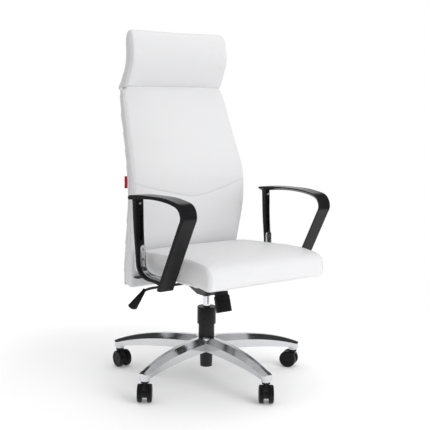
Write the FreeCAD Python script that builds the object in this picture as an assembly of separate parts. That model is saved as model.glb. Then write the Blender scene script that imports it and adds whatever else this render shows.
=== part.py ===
import FreeCAD
import Part
import math
import os

# High-back swivel office chair. Millimetres, +Z up, the sitter faces -Y.
# The origin lies on the floor under the gas-lift column.

# ---- Casters
wheel_d = 60.0
wheel_w = 15.0
wheel_gap = 18.0            # between the inner faces of a caster's two wheels
wheel_edge_r = 4.5
hub_cap_r = 19.0
hub_cap_depth = 1.2
hub_button_r = 8.0
wheel_rim_t = 6.0
wheel_recess = 4.0          # hollow in the inner face, round the axle's sleeve
wheel_sleeve_wall = 3.5
caster_trail = 15.0         # from the stem's axis to the axle's
caster_neck_r = 14.0
caster_body_r = 21.0
caster_body_low = 20.0      # height of the body's flat lower edge
stem_r = 5.5
stem_length = 22.0          # inside the leg's socket
axle_r = 3.0
axle_bite = 11.0            # how far the axle enters each wheel
caster_headings = (234.0, 122.0, 60.0, 271.0, 234.0)    # trail headings, degrees, legs 1 to 5

# ---- Star base
leg_count = 5
base_radius = 335.0         # to the caster stems
leg_tip_r = 19.5
leg_root_half = 29.0
leg_root_top = 145.0
leg_root_bottom = 97.0
leg_tip_top = 93.0
leg_tip_bottom = 71.0
leg_wall = 5.0
socket_boss_r = 16.5
socket_face_z = 67.0        # where the caster's neck meets the leg
hub_r = 38.0
hub_fillet = 5.0

# ---- Gas lift
column_low = 34.0
column_low_r = 21.2
column_r = 25.0
column_top = 241.0
column_bore_r = 19.5
column_floor_z = 40.0
column_floor = 4.0
pressure_tube_r = 14.0
pressure_tube_wall = 2.5
pressure_tube_low = 53.0
pressure_tube_top = 338.0
piston_rod_r = 5.0
piston_rod_top = 200.0
bearing_r = 13.0
bearing_h = 7.0
valve_pin_r = 4.0
valve_pin_proud = 7.0

# ---- Telescopic column cover
cover_wall = 1.6
cover_bottom_r = 28.25
cover_middle_r = 30.6
cover_top_r = 33.0
cover_top_low = 189.5
cover_top_high = 250.0
cover_slack = 4.0           # the inner stages stop this far below the stage around them

# ---- Tilt mechanism
housing_low = 293.0
housing_shoulder = 325.0
housing_wall = 3.0
housing_half_w = 45.0
housing_front = -58.0
housing_rear = 62.0
housing_top = 342.0
socket_outer_r = 19.0
tilt_axle_r = 6.0
tilt_axle_y = 45.0          # in the seat's frame
tilt_axle_drop = 37.0       # below the seat's underside
eye_r = 12.0
top_plate_t = 3.0
top_plate_half_w = 80.0
top_plate_front = -100.0
top_plate_rear = 62.0

# ---- Tension bolt, spring and knob
knob_r = 27.5
knob_h = 56.0
knob_collar_r = 24.5
knob_collar_h = 4.0
knob_floor = 10.0
knob_cup_r = 22.5
knob_ribs = 28
knob_rib_r = 1.2
knob_low_y = -104.0
knob_low_z = 250.0
knob_lean = 16.7            # degrees from upright, lower end forward
tension_bolt_r = 5.0
spring_seat_up = 100.0      # along the bolt's axis, from the knob's lower face
spring_mean_r = 16.5
spring_wire_r = 2.7
spring_turns = 7.5
spring_arm_half_w = 36.0
spring_arm_front = -30.0
spring_arm_rear = 46.0
spring_arm_h = 18.0
spring_slot = 18.0          # room behind the bolt as the seat tilts

# ---- Height and tilt-lock lever
lever_y = 26.0
lever_z = 336.0
lever_r = 4.5
lever_inner_x = 20.0
finger_reach = 8.0
finger_t = 3.5
finger_gap = 0.3            # above the valve pin at rest
lever_out_x = -205.0        # where the rod starts to droop
lever_end_x = -245.0
lever_end_z = 330.0
lever_bush_r = 9.0
lever_bush_outer = -58.0
lever_bush_inner = -26.0
lever_pivot_r = 1.5
paddle_length = 65.0
paddle_root_w = 13.0
paddle_end_w = 42.0
paddle_t = 6.0

# ---- Seat
seat_half_w = 236.0
seat_pitch = 3.2            # degrees, front edge up
seat_bottom_z = 389.0       # height of the underside above the column
seat_thickness = 75.0
seat_nose_y = -342.0
seat_lip_drop = 20.0        # the front edge hangs this far below the underside
seat_rear_y = 100.0
board_t = 12.0
board_inset = 20.0
dust_cover_t = 2.0

# ---- Backrest: height, rear face, side strip's depth, crown ahead of the strip, half width
back_stations = (
    (348.0, 197.0, 64.0, 2.0, 222.0),
    (440.0, 183.0, 61.0, 4.0, 226.0),
    (530.0, 161.0, 54.0, 9.0, 232.0),
    (625.0, 142.0, 47.0, 20.0, 237.0),
    (720.0, 150.0, 50.0, 30.0, 235.0),
    (835.0, 188.0, 46.0, 34.0, 225.0),
    (1007.0, 240.0, 34.0, 20.0, 211.0),
)
back_end_z = 314.0
rear_cover_t = 14.0
back_board_t = 10.0
back_board_low = 350.0
back_board_inset = 14.0

# ---- Headrest: height, rear face and front face of its stations
headrest_stations = (
    (1012.0, 259.0, 202.0),
    (1050.0, 234.0, 183.0),
    (1112.0, 218.0, 165.0),
    (1172.0, 219.0, 171.0),
)
headrest_top = 1208.0
headrest_top_y = 200.0
headrest_half_w = 202.0
headrest_corner_r = 34.0
headrest_board_top = 1165.0
headrest_board_half_w = 150.0

# ---- Armrests, described on the sitter's left side
arm_seat_gap = 16.0         # from the seat's side to the loop
arm_width = 50.0
arm_inner_bevel = 12.0      # width of the slanted inner side
arm_edge = 2.0              # softened outer edge
arm_pad_t = 12.0
arm_leg_t = 17.0
arm_side_t = 5.0            # depth left at the inner side
arm_front_y = -290.0
arm_pad_rear_y = 34.0
arm_top_z = 669.0
arm_leg_low_y = -166.0
arm_leg_low_z = 369.0
arm_straight_z = 599.0      # the front leg is straight below this
post_set_in = 8.0           # from the loop's inner side to the post's
post_width = 27.0
post_bevel_x = 7.0
post_bevel_share = 0.28     # of the post's depth
post_line = ((28.0, 653.0), (21.0, 560.0), (7.0, 450.0), (-3.0, 411.0),
             (-28.0, 393.0), (-68.0, 386.0), (-148.0, 378.0))    # rear and under side, from the top
post_depths = (26.0, 22.0, 14.0, 12.0, 10.0, 8.5, 8.0)
arm_bar_t = 8.0             # bright bracket nested inside the post
arm_bar_top = 496.0
arm_screw_r = 2.2
arm_screw_length = 17.0
arm_screw_lifts = (26.0, -4.0)      # above the third point of the post's line
flange_t = 5.0
flange_length = 113.0       # from the post inwards, under the seat
flange_bend = 8.0           # thickness of the joint between bar and flange
flange_front = -140.0
flange_rear = -60.0

# ---- Back bracket
bracket_t = 6.0
bracket_leg_inner = 92.0
bracket_leg_outer = 132.0
bracket_front = -40.0
bracket_bend_y = 62.0
bracket_bar_z = 360.0
bracket_bar_half = 220.0
bracket_bar_depth = 22.0
bracket_upright_top = 480.0
bracket_bolt_drops = (75.0, 20.0)   # bolts below the uprights' tops

# ---- Fasteners and small parts
bolt_r = 3.0
bolt_head_r = 5.5
bolt_head_h = 3.5
bolt_hole_r = 3.3
tee_nut_r = 8.0
tee_nut_t = 1.5
tab_width = 20.0
tab_height = 42.0
tab_t = 1.4
tab_low_z = 667.0
tab_sewn_in = 4.0

# ---- Clearances
running = 0.05              # radial, shaft in bore
side_gap = 0.5              # between faces that pass each other

arm_inner_x = seat_half_w + arm_seat_gap
arm_outer_x = arm_inner_x + arm_width
post_inner_x = arm_inner_x + post_set_in
post_outer_x = post_inner_x + post_width
flange_inner_x = post_inner_x - 2 - flange_length

os.makedirs("parts", exist_ok=True)
Vector = FreeCAD.Vector
X_AXIS = Vector(1, 0, 0)
Y_AXIS = Vector(0, 1, 0)
Z_AXIS = Vector(0, 0, 1)
ORIGIN = Vector(0, 0, 0)


# ---------------------------------------------------------------- helpers
def save(name, shape):
    """Write one sub-part to its own STEP file."""
    shape.exportStep("parts/" + name + ".step")


def box(x0, x1, y0, y1, z0, z1):
    return Part.makeBox(x1 - x0, y1 - y0, z1 - z0, Vector(x0, y0, z0))


def rod(radius, z0, z1, x=0.0, y=0.0):
    """An upright cylinder between two heights."""
    return Part.makeCylinder(radius, z1 - z0, Vector(x, y, z0), Z_AXIS)


def ring(outer, inner, z0, z1, x=0.0, y=0.0):
    return rod(outer, z0, z1, x, y).cut(rod(inner, z0 - 1, z1 + 1, x, y))


def cross_rod(radius, x0, x1, y, z):
    """A cylinder along X."""
    return Part.makeCylinder(radius, x1 - x0, Vector(x0, y, z), X_AXIS)


def line(start, end):
    return Part.LineSegment(start, end).toShape()


def curve(points):
    spline = Part.BSplineCurve()
    spline.interpolate(points)
    return spline.toShape()


def extrude(edges, direction):
    return Part.Face(Part.Wire(edges)).extrude(direction)


def polygon_solid(points, direction):
    return Part.Face(Part.makePolygon(points + [points[0]])).extrude(direction)


def fuse_all(shapes):
    first = shapes[0]
    return first.fuse(shapes[1:]).removeSplitter() if len(shapes) > 1 else first


def mirrored(shape):
    """The same piece for the other side of the chair."""
    return shape.mirror(ORIGIN, X_AXIS)


def seated(shape):
    """From the seat's own frame, underside at zero, to the chair's frame."""
    moved = shape.copy()
    moved.rotate(ORIGIN, X_AXIS, -seat_pitch)
    moved.translate(Vector(0, 0, seat_bottom_z))
    return moved


def seat_point(y, z):
    """Y and Z in the chair's frame of a point in the seat's frame."""
    turn = math.radians(seat_pitch)
    return (y * math.cos(turn) + z * math.sin(turn),
            seat_bottom_z - y * math.sin(turn) + z * math.cos(turn))


def leaned(shape):
    """From the tension bolt's own frame, knob's lower face at zero, to the chair's frame."""
    moved = shape.copy()
    moved.rotate(ORIGIN, X_AXIS, -knob_lean)
    moved.translate(Vector(0, knob_low_y, knob_low_z))
    return moved


# ---------------------------------------------------------------- casters
wheel_r = wheel_d / 2
axle_half = wheel_gap / 2 + axle_bite


def caster_hood():
    half = wheel_gap / 2 - side_gap
    neck = rod(caster_neck_r, wheel_d + side_gap, socket_face_z - side_gap)
    slant = [Vector(-caster_neck_r * 0.9, -half, wheel_d + 2),
             Vector(caster_neck_r * 0.9, -half, wheel_d + 2),
             Vector(caster_trail + caster_body_r * 0.98, -half, wheel_r + 4),
             Vector(caster_trail - caster_body_r * 0.98, -half, wheel_r + 4)]
    web = polygon_solid(slant, Vector(0, 2 * half, 0))
    drum = Part.makeCylinder(caster_body_r, 2 * half, Vector(caster_trail, -half, wheel_r), Y_AXIS)
    body = fuse_all([neck, web, drum])
    reach = caster_trail + caster_body_r + 5
    body = body.cut(box(-reach, reach, -half - 1, half + 1, -5, caster_body_low))
    for y in (-half * 0.45, half * 0.45):
        groove = ring(caster_body_r + 3, caster_body_r - 1.2, -0.8, 0.8)
        groove.rotate(ORIGIN, X_AXIS, 90)
        groove.translate(Vector(caster_trail, y, wheel_r))
        body = body.cut(groove.common(box(caster_trail, reach + 5, -half, half, 0, wheel_r + 12)))
    body = body.cut(rod(stem_r, wheel_r + caster_body_r * 0.9, socket_face_z + 1))
    return body.cut(Part.makeCylinder(axle_r, 4 * half, Vector(caster_trail, -2 * half, wheel_r), Y_AXIS))


def caster_pins():
    stem = rod(stem_r, wheel_r + caster_body_r * 0.9, socket_face_z + stem_length)
    stem = stem.makeFillet(1.2, [stem.Edges[0]])
    axle = Part.makeCylinder(axle_r, 2 * axle_half, Vector(caster_trail, -axle_half, wheel_r), Y_AXIS)
    return Part.makeCompound([stem, axle])


def caster_wheel(side):
    inner = wheel_gap / 2
    outer = inner + wheel_w
    disc = Part.makeCylinder(wheel_r, wheel_w, Vector(caster_trail, inner, wheel_r), Y_AXIS)
    rims = [edge for edge in disc.Edges if edge.Closed]
    disc = disc.makeFillet(wheel_edge_r, [max(rims, key=lambda edge: edge.CenterOfMass.y)])
    rims = [edge for edge in disc.Edges if edge.Closed and edge.CenterOfMass.y < inner + 0.1]
    disc = disc.makeFillet(1.5, rims)
    hub_face = Vector(caster_trail, outer - hub_cap_depth, wheel_r)
    inner_face = Vector(caster_trail, inner, wheel_r)
    dish = Part.makeCylinder(hub_cap_r, wheel_w, hub_face, Y_AXIS)
    button = Part.makeCylinder(hub_button_r, hub_cap_depth, hub_face, Y_AXIS)
    bore = Part.makeCylinder(axle_r + running, axle_bite + running, inner_face, Y_AXIS)
    recess = Part.makeCylinder(wheel_r - wheel_rim_t, wheel_recess, inner_face, Y_AXIS)
    sleeve = Part.makeCylinder(axle_r + wheel_sleeve_wall, wheel_recess, inner_face, Y_AXIS)
    wheel = disc.cut(dish).fuse(button).cut(recess.cut(sleeve)).cut(bore)
    if side < 0:
        wheel = wheel.mirror(ORIGIN, Y_AXIS)
    return wheel


def leg_angle(index):
    return -90.0 + index * 360.0 / leg_count


def placed_caster(shape, index):
    turn = math.radians(leg_angle(index))
    moved = shape.copy()
    moved.rotate(ORIGIN, Z_AXIS, caster_headings[index])
    moved.translate(Vector(base_radius * math.cos(turn), base_radius * math.sin(turn), 0))
    return moved


def make_casters():
    pieces = {"hood": caster_hood(), "pins": caster_pins(),
              "wheel_left": caster_wheel(1), "wheel_right": caster_wheel(-1)}
    for index in range(leg_count):
        for name, shape in pieces.items():
            save("caster_%d_%s" % (index + 1, name), placed_caster(shape, index))


# ---------------------------------------------------------------- star base
leg_end = base_radius + leg_tip_r


def leg_top(radius):
    return leg_root_top - (leg_root_top - leg_tip_top) * (radius / leg_end) ** 3


def leg_bottom(radius):
    return leg_root_bottom - (leg_root_bottom - leg_tip_bottom) * (radius / leg_end) ** 3


def leg_section(radius, inset):
    """Cross-section of a leg: upright flanks under a sloping ridge."""
    share = radius / base_radius
    half = leg_root_half + (leg_tip_r - leg_root_half) * share + 1 - inset
    top = leg_top(radius) - inset
    bottom = leg_bottom(radius) - (3 * leg_wall if inset else 0)
    shoulder = top - (top - leg_bottom(radius)) * 0.42
    ridge = half * 0.30
    left = ((-half, bottom), (-half, shoulder), (-ridge, top))
    corners = [Vector(radius, y, z) for y, z in left]
    corners += [Vector(radius, -y, z) for y, z in left[::-1]]
    return Part.makePolygon(corners + [corners[0]])


def star_leg():
    stations = [base_radius * share for share in (0.06, 0.25, 0.45, 0.65, 0.82, 1.0)] + [leg_end + 2]
    blank = Part.makeLoft([leg_section(radius, 0) for radius in stations], True, False)
    plan = [line(Vector(0, -leg_root_half, 0), Vector(base_radius, -leg_tip_r, 0)),
            Part.Arc(Vector(base_radius, -leg_tip_r, 0), Vector(leg_end, 0, 0),
                     Vector(base_radius, leg_tip_r, 0)).toShape(),
            line(Vector(base_radius, leg_tip_r, 0), Vector(0, leg_root_half, 0)),
            line(Vector(0, leg_root_half, 0), Vector(0, -leg_root_half, 0))]
    outline = extrude(plan, Vector(0, 0, leg_root_top + 20))
    leg = blank.common(outline)
    hollow_end = base_radius - socket_boss_r - leg_wall
    hollow_start = hub_r + 4
    spans = [hollow_start + (hollow_end - hollow_start) * step / 4 for step in range(5)]
    hollow = Part.makeLoft([leg_section(radius, leg_wall) for radius in spans], True, False)
    boss = rod(socket_boss_r, socket_face_z, leg_tip_bottom + 8, base_radius)
    leg = leg.cut(hollow).fuse(boss)
    return leg.cut(rod(stem_r + running, socket_face_z - 1, socket_face_z + stem_length + 1, base_radius))


def column_blank(extra):
    """The column's outside: a taper in the hub, then a straight tube."""
    taper_h = leg_root_top - column_low
    taper = Part.makeCone(column_low_r + extra, column_r + extra, taper_h, Vector(0, 0, column_low))
    return taper.fuse(rod(column_r + extra, leg_root_top, column_top))


def make_base():
    hub = rod(hub_r, leg_root_bottom, leg_root_top)
    hub = hub.makeFillet(hub_fillet, [edge for edge in hub.Edges if edge.Closed])
    legs = []
    for index in range(leg_count):
        leg = star_leg()
        leg.rotate(ORIGIN, Z_AXIS, leg_angle(index))
        legs.append(leg)
    star = fuse_all([hub] + legs)
    save("base_star", star.cut(column_blank(0)))


# ---------------------------------------------------------------- gas lift
def make_lift():
    floor_top = column_floor_z + column_floor
    outer = column_blank(0)
    outer = outer.cut(rod(column_bore_r, floor_top, column_top + 1))
    outer = outer.cut(rod(column_low_r - 3, column_low - 1, column_floor_z))
    outer = outer.cut(rod(piston_rod_r + running, column_floor_z - 1, floor_top + 1))
    save("lift_outer_tube", outer)

    bush = ring(column_bore_r, pressure_tube_r + running, column_top - 80, column_top)
    save("lift_guide_bush", bush)

    inner_r = pressure_tube_r - pressure_tube_wall
    tube = rod(pressure_tube_r, pressure_tube_low, pressure_tube_top)
    tube = tube.makeFillet(1.0, [max(tube.Edges, key=lambda edge: edge.CenterOfMass.z)])
    tube = tube.cut(rod(inner_r, pressure_tube_low + 8, pressure_tube_top - 8))
    tube = tube.cut(rod(piston_rod_r + running, pressure_tube_low - 1, pressure_tube_low + 9))
    tube = tube.cut(rod(valve_pin_r + running, pressure_tube_top - 9, pressure_tube_top + 1))
    save("lift_inner_tube", tube)

    clip_low = column_floor_z - 2.0
    clip_high = column_floor_z - side_gap
    shaft = rod(piston_rod_r, column_floor_z - 5, piston_rod_top)
    shaft = shaft.fuse(rod(inner_r - running, piston_rod_top - 12, piston_rod_top))
    shaft = shaft.cut(ring(piston_rod_r + 1, piston_rod_r - 1, clip_low, clip_high))
    save("lift_piston_rod", shaft)

    bearing = ring(bearing_r, piston_rod_r, floor_top + running, floor_top + bearing_h)
    bearing = bearing.cut(ring(bearing_r + 1, bearing_r - 2.5, floor_top + 2.2, floor_top + bearing_h - 2.2))
    save("lift_thrust_bearing", bearing)

    clip = ring(piston_rod_r + 4, piston_rod_r - 1, clip_low, clip_high)
    save("lift_retaining_clip", clip.cut(box(-1.5, 1.5, 0, 20, 0, column_floor_z)))

    save("lift_valve_pin", rod(valve_pin_r, pressure_tube_top - 20, pressure_tube_top + valve_pin_proud))


# ---------------------------------------------------------------- column cover
def cover_stage(radius, low, high, cap_hole):
    """A thin sleeve, with a ring across its top when a hole radius is given."""
    stage = ring(radius, radius - cover_wall, low, high)
    if cap_hole:
        stage = stage.fuse(ring(radius - cover_wall / 2, cap_hole, high - 2.5, high))
    return stage


def make_covers():
    middle_high = cover_top_high - cover_slack
    top = cover_stage(cover_top_r, cover_top_low, cover_top_high, pressure_tube_r)
    top = top.makeFillet(1.0, [max((edge for edge in top.Edges if edge.Closed),
                                   key=lambda edge: edge.CenterOfMass.z * 1000 + edge.Length)])
    save("cover_top", top)
    save("cover_middle", cover_stage(cover_middle_r, cover_top_low + 1, middle_high, 0))
    save("cover_bottom", cover_stage(cover_bottom_r, leg_root_top, middle_high - 1, 0))


# ---------------------------------------------------------------- tilt mechanism
axle_y, axle_z = seat_point(tilt_axle_y, -tilt_axle_drop)


def rectangle(half_x, y0, y1, z):
    corners = [Vector(-half_x, y0, z), Vector(half_x, y0, z), Vector(half_x, y1, z), Vector(-half_x, y1, z)]
    return Part.makePolygon(corners + [corners[0]])


def housing_tray(inset):
    """The pressed tray: a dish under straight walls."""
    low_half = socket_outer_r + 7 - inset
    low = housing_low + inset
    dish = Part.makeLoft([rectangle(low_half, -low_half, low_half, low),
                          rectangle(housing_half_w - inset, housing_front + inset, housing_rear - inset,
                                    housing_shoulder)], True, True)
    lift = 10 if inset else 0
    walls = box(-housing_half_w + inset, housing_half_w - inset, housing_front + inset, housing_rear - inset,
                housing_shoulder, housing_top + lift)
    return dish.fuse(walls)


def spring_seat():
    """The front arm, square to the tension bolt, that the spring pushes against."""
    half = spring_arm_half_w
    low = spring_seat_up
    plate = box(-half, half, spring_arm_front, spring_arm_rear, low, low + housing_wall)
    cheeks = []
    for x in (-half, half - housing_wall):
        cheeks.append(box(x, x + housing_wall, spring_arm_front, spring_arm_rear + 14, low, low + spring_arm_h))
    slot_half = tension_bolt_r + 1
    slot = box(-slot_half, slot_half, -spring_slot, tension_bolt_r + 2, low - 1, low + housing_wall + 2)
    return leaned(fuse_all([plate] + cheeks).cut(slot))


def make_mechanism():
    tray = housing_tray(0).cut(housing_tray(housing_wall))
    ears = []
    for x in (-housing_half_w, housing_half_w - housing_wall):
        outer_x = x + housing_wall
        eye = cross_rod(eye_r, x, outer_x, axle_y, axle_z)
        ears.append(eye.fuse(box(x, outer_x, axle_y - eye_r, axle_y + eye_r, housing_shoulder + 2, axle_z)))
    socket = rod(socket_outer_r, housing_low, pressure_tube_top - 3)
    arm = spring_seat().cut(housing_tray(housing_wall))
    housing = fuse_all([tray, socket, arm] + ears)
    housing = housing.cut(rod(pressure_tube_r, housing_low - 1, pressure_tube_top + 5))
    housing = housing.cut(cross_rod(tilt_axle_r, -60, 60, axle_y, axle_z))
    bush_hole = cross_rod(lever_bush_r + running, -housing_half_w - 1, -housing_half_w + 5, lever_y, lever_z)
    housing = housing.cut(bush_hole)
    save("mechanism_housing", housing)

    axle_end = housing_half_w + 3 * side_gap + top_plate_t + 5
    axle = cross_rod(tilt_axle_r, -axle_end, axle_end, axle_y, axle_z)
    save("tilt_axle", axle.makeFillet(1.0, [edge for edge in axle.Edges if edge.Closed]))

    plate = box(-top_plate_half_w, top_plate_half_w, top_plate_front, top_plate_rear, -top_plate_t, 0)
    inner = housing_half_w + side_gap
    cheek_front = tilt_axle_y - eye_r + 3
    for x in (-inner - top_plate_t, inner):
        cheek = box(x, x + top_plate_t, cheek_front, top_plate_rear, -tilt_axle_drop, -top_plate_t)
        eye = cross_rod(eye_r, x, x + top_plate_t, tilt_axle_y, -tilt_axle_drop)
        plate = plate.fuse(cheek).fuse(eye)
    plate = plate.cut(cross_rod(tilt_axle_r + running, -axle_end, axle_end, tilt_axle_y, -tilt_axle_drop))
    for x, y in mechanism_bolts:
        plate = plate.cut(rod(bolt_hole_r, -20, 5, x, y))
    save("mechanism_top_plate", seated(plate.removeSplitter()))


def make_tension():
    above = box(-200, 200, -400, 400, -top_plate_t, 400)
    bolt = leaned(rod(tension_bolt_r, 2, 400)).cut(seated(above))
    save("tension_bolt", bolt)

    knob = rod(knob_r, 0, knob_h).fuse(rod(knob_collar_r, knob_h, knob_h + knob_collar_h))
    for index in range(knob_ribs):
        turn = 2 * math.pi * index / knob_ribs
        knob = knob.cut(rod(knob_rib_r, 3, knob_h - 3, knob_r * math.cos(turn), knob_r * math.sin(turn)))
    knob = knob.cut(rod(knob_cup_r, knob_floor, knob_h + knob_collar_h + 1))
    knob = knob.cut(rod(tension_bolt_r + running, -1, knob_floor + 1))
    save("tension_knob", leaned(knob))

    low = knob_floor + spring_wire_r
    high = spring_seat_up - spring_wire_r
    helix = Part.makeHelix((high - low) / spring_turns, high - low, spring_mean_r)
    helix.translate(Vector(0, 0, low))
    wire = Part.Wire([Part.Circle(Vector(spring_mean_r, 0, low), Y_AXIS, spring_wire_r).toShape()])
    coil = Part.Wire(helix.Edges).makePipeShell([wire], True, True)
    save("tilt_spring", leaned(coil))


# ---------------------------------------------------------------- lever
def make_lever():
    slot_half = lever_r + 1.6
    bush = cross_rod(lever_bush_r, lever_bush_outer, lever_bush_inner, lever_y, lever_z)
    bush = bush.cut(box(lever_bush_outer - 1, lever_bush_inner + 1, lever_y - lever_r - side_gap,
                        lever_y + lever_r + side_gap, lever_z - slot_half, lever_z + slot_half))
    pivot_x = (lever_bush_outer + lever_bush_inner) / 2
    pin_start = Vector(pivot_x, lever_y - lever_bush_r, lever_z)
    pin_hole = Part.makeCylinder(lever_pivot_r, 2 * lever_bush_r, pin_start, Y_AXIS)
    save("lever_bush", bush.cut(pin_hole))
    barrel = cross_rod(lever_bush_r, lever_bush_outer, lever_bush_inner, lever_y, lever_z)
    save("lever_pivot_pin", pin_hole.common(barrel))

    # Rod with a drooping outer end and, inside, a finger over the valve pin.
    inner_end = Vector(lever_inner_x, lever_y, lever_z)
    droop_start = Vector(lever_out_x, lever_y, lever_z)
    droop = lever_z - (lever_z - lever_end_z) * 0.27
    droop_mid = Vector((lever_out_x + lever_end_x) / 2, lever_y, droop)
    droop_end = Vector(lever_end_x, lever_y, lever_end_z)
    path = [line(inner_end, droop_start), Part.Arc(droop_start, droop_mid, droop_end).toShape()]
    ring_wire = Part.Wire([Part.Circle(inner_end, X_AXIS, lever_r).toShape()])
    bar = Part.Wire(path).makePipeShell([ring_wire], True, False)
    pad_z = pressure_tube_top + valve_pin_proud + finger_gap
    post = box(-finger_reach, lever_inner_x, lever_y - 2, lever_y + 2, lever_z, pad_z + finger_t)
    pad = box(-finger_reach, lever_inner_x, -valve_pin_r - 3, lever_y + 2, pad_z, pad_z + finger_t)
    bar = fuse_all([bar, post, pad])
    through = Part.makeCylinder(lever_pivot_r + running, 40, Vector(pivot_x, lever_y - 20, lever_z), Y_AXIS)
    save("lever_rod", bar.cut(through))

    # Blade of the paddle, in its own frame: length along X, width along Y.
    root = paddle_root_w / 2
    end = paddle_end_w / 2
    outline = [curve([Vector(-14, -root * 0.8, 0), Vector(paddle_length * 0.4, -end * 0.66, 0),
                      Vector(paddle_length * 0.9, -end * 0.97, 0)]),
               Part.Arc(Vector(paddle_length * 0.9, -end * 0.97, 0), Vector(paddle_length, 0, 0),
                        Vector(paddle_length * 0.9, end * 0.97, 0)).toShape(),
               curve([Vector(paddle_length * 0.9, end * 0.97, 0), Vector(paddle_length * 0.4, end * 0.66, 0),
                      Vector(-14, root * 0.8, 0)]),
               line(Vector(-14, root * 0.8, 0), Vector(-14, -root * 0.8, 0))]
    blade = extrude(outline, Vector(0, 0, paddle_t))
    blade.translate(Vector(0, 0, -paddle_t / 2))
    sleeve = Part.makeCylinder(lever_r + 2, 26, Vector(-16, 0, 0), X_AXIS)
    grip = blade.fuse(sleeve)
    along = Vector(-0.70, -0.06, -0.71)
    along.normalize()
    across = Vector(0.44, -0.86, 0.26)
    across = across - along * across.dot(along)
    across.normalize()
    normal = along.cross(across)
    place = FreeCAD.Matrix(along.x, across.x, normal.x, lever_end_x - 5,
                           along.y, across.y, normal.y, lever_y,
                           along.z, across.z, normal.z, lever_end_z - 7,
                           0, 0, 0, 1)
    grip = grip.transformGeometry(place)
    save("lever_paddle", grip.cut(bar))


# ---------------------------------------------------------------- seat
board_half = seat_half_w - board_inset
board_front = seat_nose_y + 5.5 * board_inset
board_rear = seat_rear_y - board_inset
mechanism_bolts = [(x, y) for x in (-62.0, 62.0) for y in (top_plate_front + 15, top_plate_rear - 14)]
bracket_bolts = [(side * (bracket_leg_inner + bracket_leg_outer) / 2, y)
                 for side in (-1, 1) for y in (bracket_front + 14, bracket_bend_y - 16)]
arm_bolts = [(side * x, (flange_front + flange_rear) / 2)
             for side in (-1, 1) for x in (flange_inner_x + 14, seat_half_w - board_inset - 16)]


def seat_side():
    """Side view of the upholstered seat, in the seat's frame."""
    nose = seat_nose_y
    top = seat_thickness
    mid = (top - seat_lip_drop) / 2
    low = -seat_lip_drop
    nose_line = [(nose + 97, 0), (nose + 34, low + 3), (nose + 20, low), (nose + 6, low + 9),
                 (nose, mid * 0.75), (nose + 5, mid * 1.6), (nose + 32, top - 12), (nose + 106, top)]
    points = [Vector(0, y, z) for y, z in nose_line]
    rear_top = Vector(0, seat_rear_y, top)
    rear_low = Vector(0, seat_rear_y, 0)
    return [curve(points), line(points[-1], rear_top), line(rear_top, rear_low), line(rear_low, points[0])]


def make_seat():
    shell = extrude(seat_side(), Vector(2 * seat_half_w, 0, 0))
    shell.translate(Vector(-seat_half_w, 0, 0))
    board = box(-board_half, board_half, board_front, board_rear, dust_cover_t, dust_cover_t + board_t)
    dust = box(-board_half - 6, board_half + 6, board_front - 6, board_rear + 6, 0, dust_cover_t)
    cushion = shell.cut(board).cut(dust)
    nuts = []
    bolts = []
    for x, y in mechanism_bolts + bracket_bolts + arm_bolts:
        hole = rod(bolt_hole_r, -20, dust_cover_t + board_t + 5, x, y)
        dust = dust.cut(hole)
        board = board.cut(rod(tee_nut_r - 3, -1, 40, x, y))
        top = dust_cover_t + board_t
        nut = ring(tee_nut_r - 3, bolt_r, dust_cover_t, top, x, y)
        nuts.append(nut.fuse(ring(tee_nut_r, bolt_r, top, top + tee_nut_t, x, y)))
        cushion = cushion.cut(rod(tee_nut_r + 1, top, top + tee_nut_t + 3, x, y))
    for x, y in mechanism_bolts:
        bolts.append(seat_bolt(x, y, -top_plate_t))
    for x, y in bracket_bolts:
        bolts.append(seat_bolt(x, y, -bracket_t))
    save("seat_board", seated(board))
    save("seat_cushion", seated(cushion))
    save("seat_underside_cover", seated(dust))
    save("seat_bolts", Part.makeCompound([seated(bolt) for bolt in bolts]))
    return nuts


def seat_bolt(x, y, head_z):
    """A hexagon bolt from below, its head under the plate at head_z."""
    corners = []
    for step in range(6):
        turn = math.radians(60 * step)
        corners.append(Vector(x + bolt_head_r * math.cos(turn), y + bolt_head_r * math.sin(turn),
                              head_z - bolt_head_h))
    head = polygon_solid(corners, Vector(0, 0, bolt_head_h))
    return head.fuse(rod(bolt_r, head_z, dust_cover_t + board_t + tee_nut_t, x, y))


# ---------------------------------------------------------------- backrest
back_bolt_heights = [bracket_upright_top - drop for drop in bracket_bolt_drops]
bracket_legs = ((-bracket_leg_outer, -bracket_leg_inner), (bracket_leg_inner, bracket_leg_outer))
bracket_leg_mid = (bracket_leg_inner + bracket_leg_outer) / 2
board_stations = [(z, y - rear_cover_t) for z, y, depth, crown, half in back_stations]
board_stations += [(1100.0, 198.0), (headrest_board_top + 10, 200.0)]


def yz_curve(pairs):
    return curve([Vector(0, y, z) for z, y in pairs])


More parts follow.
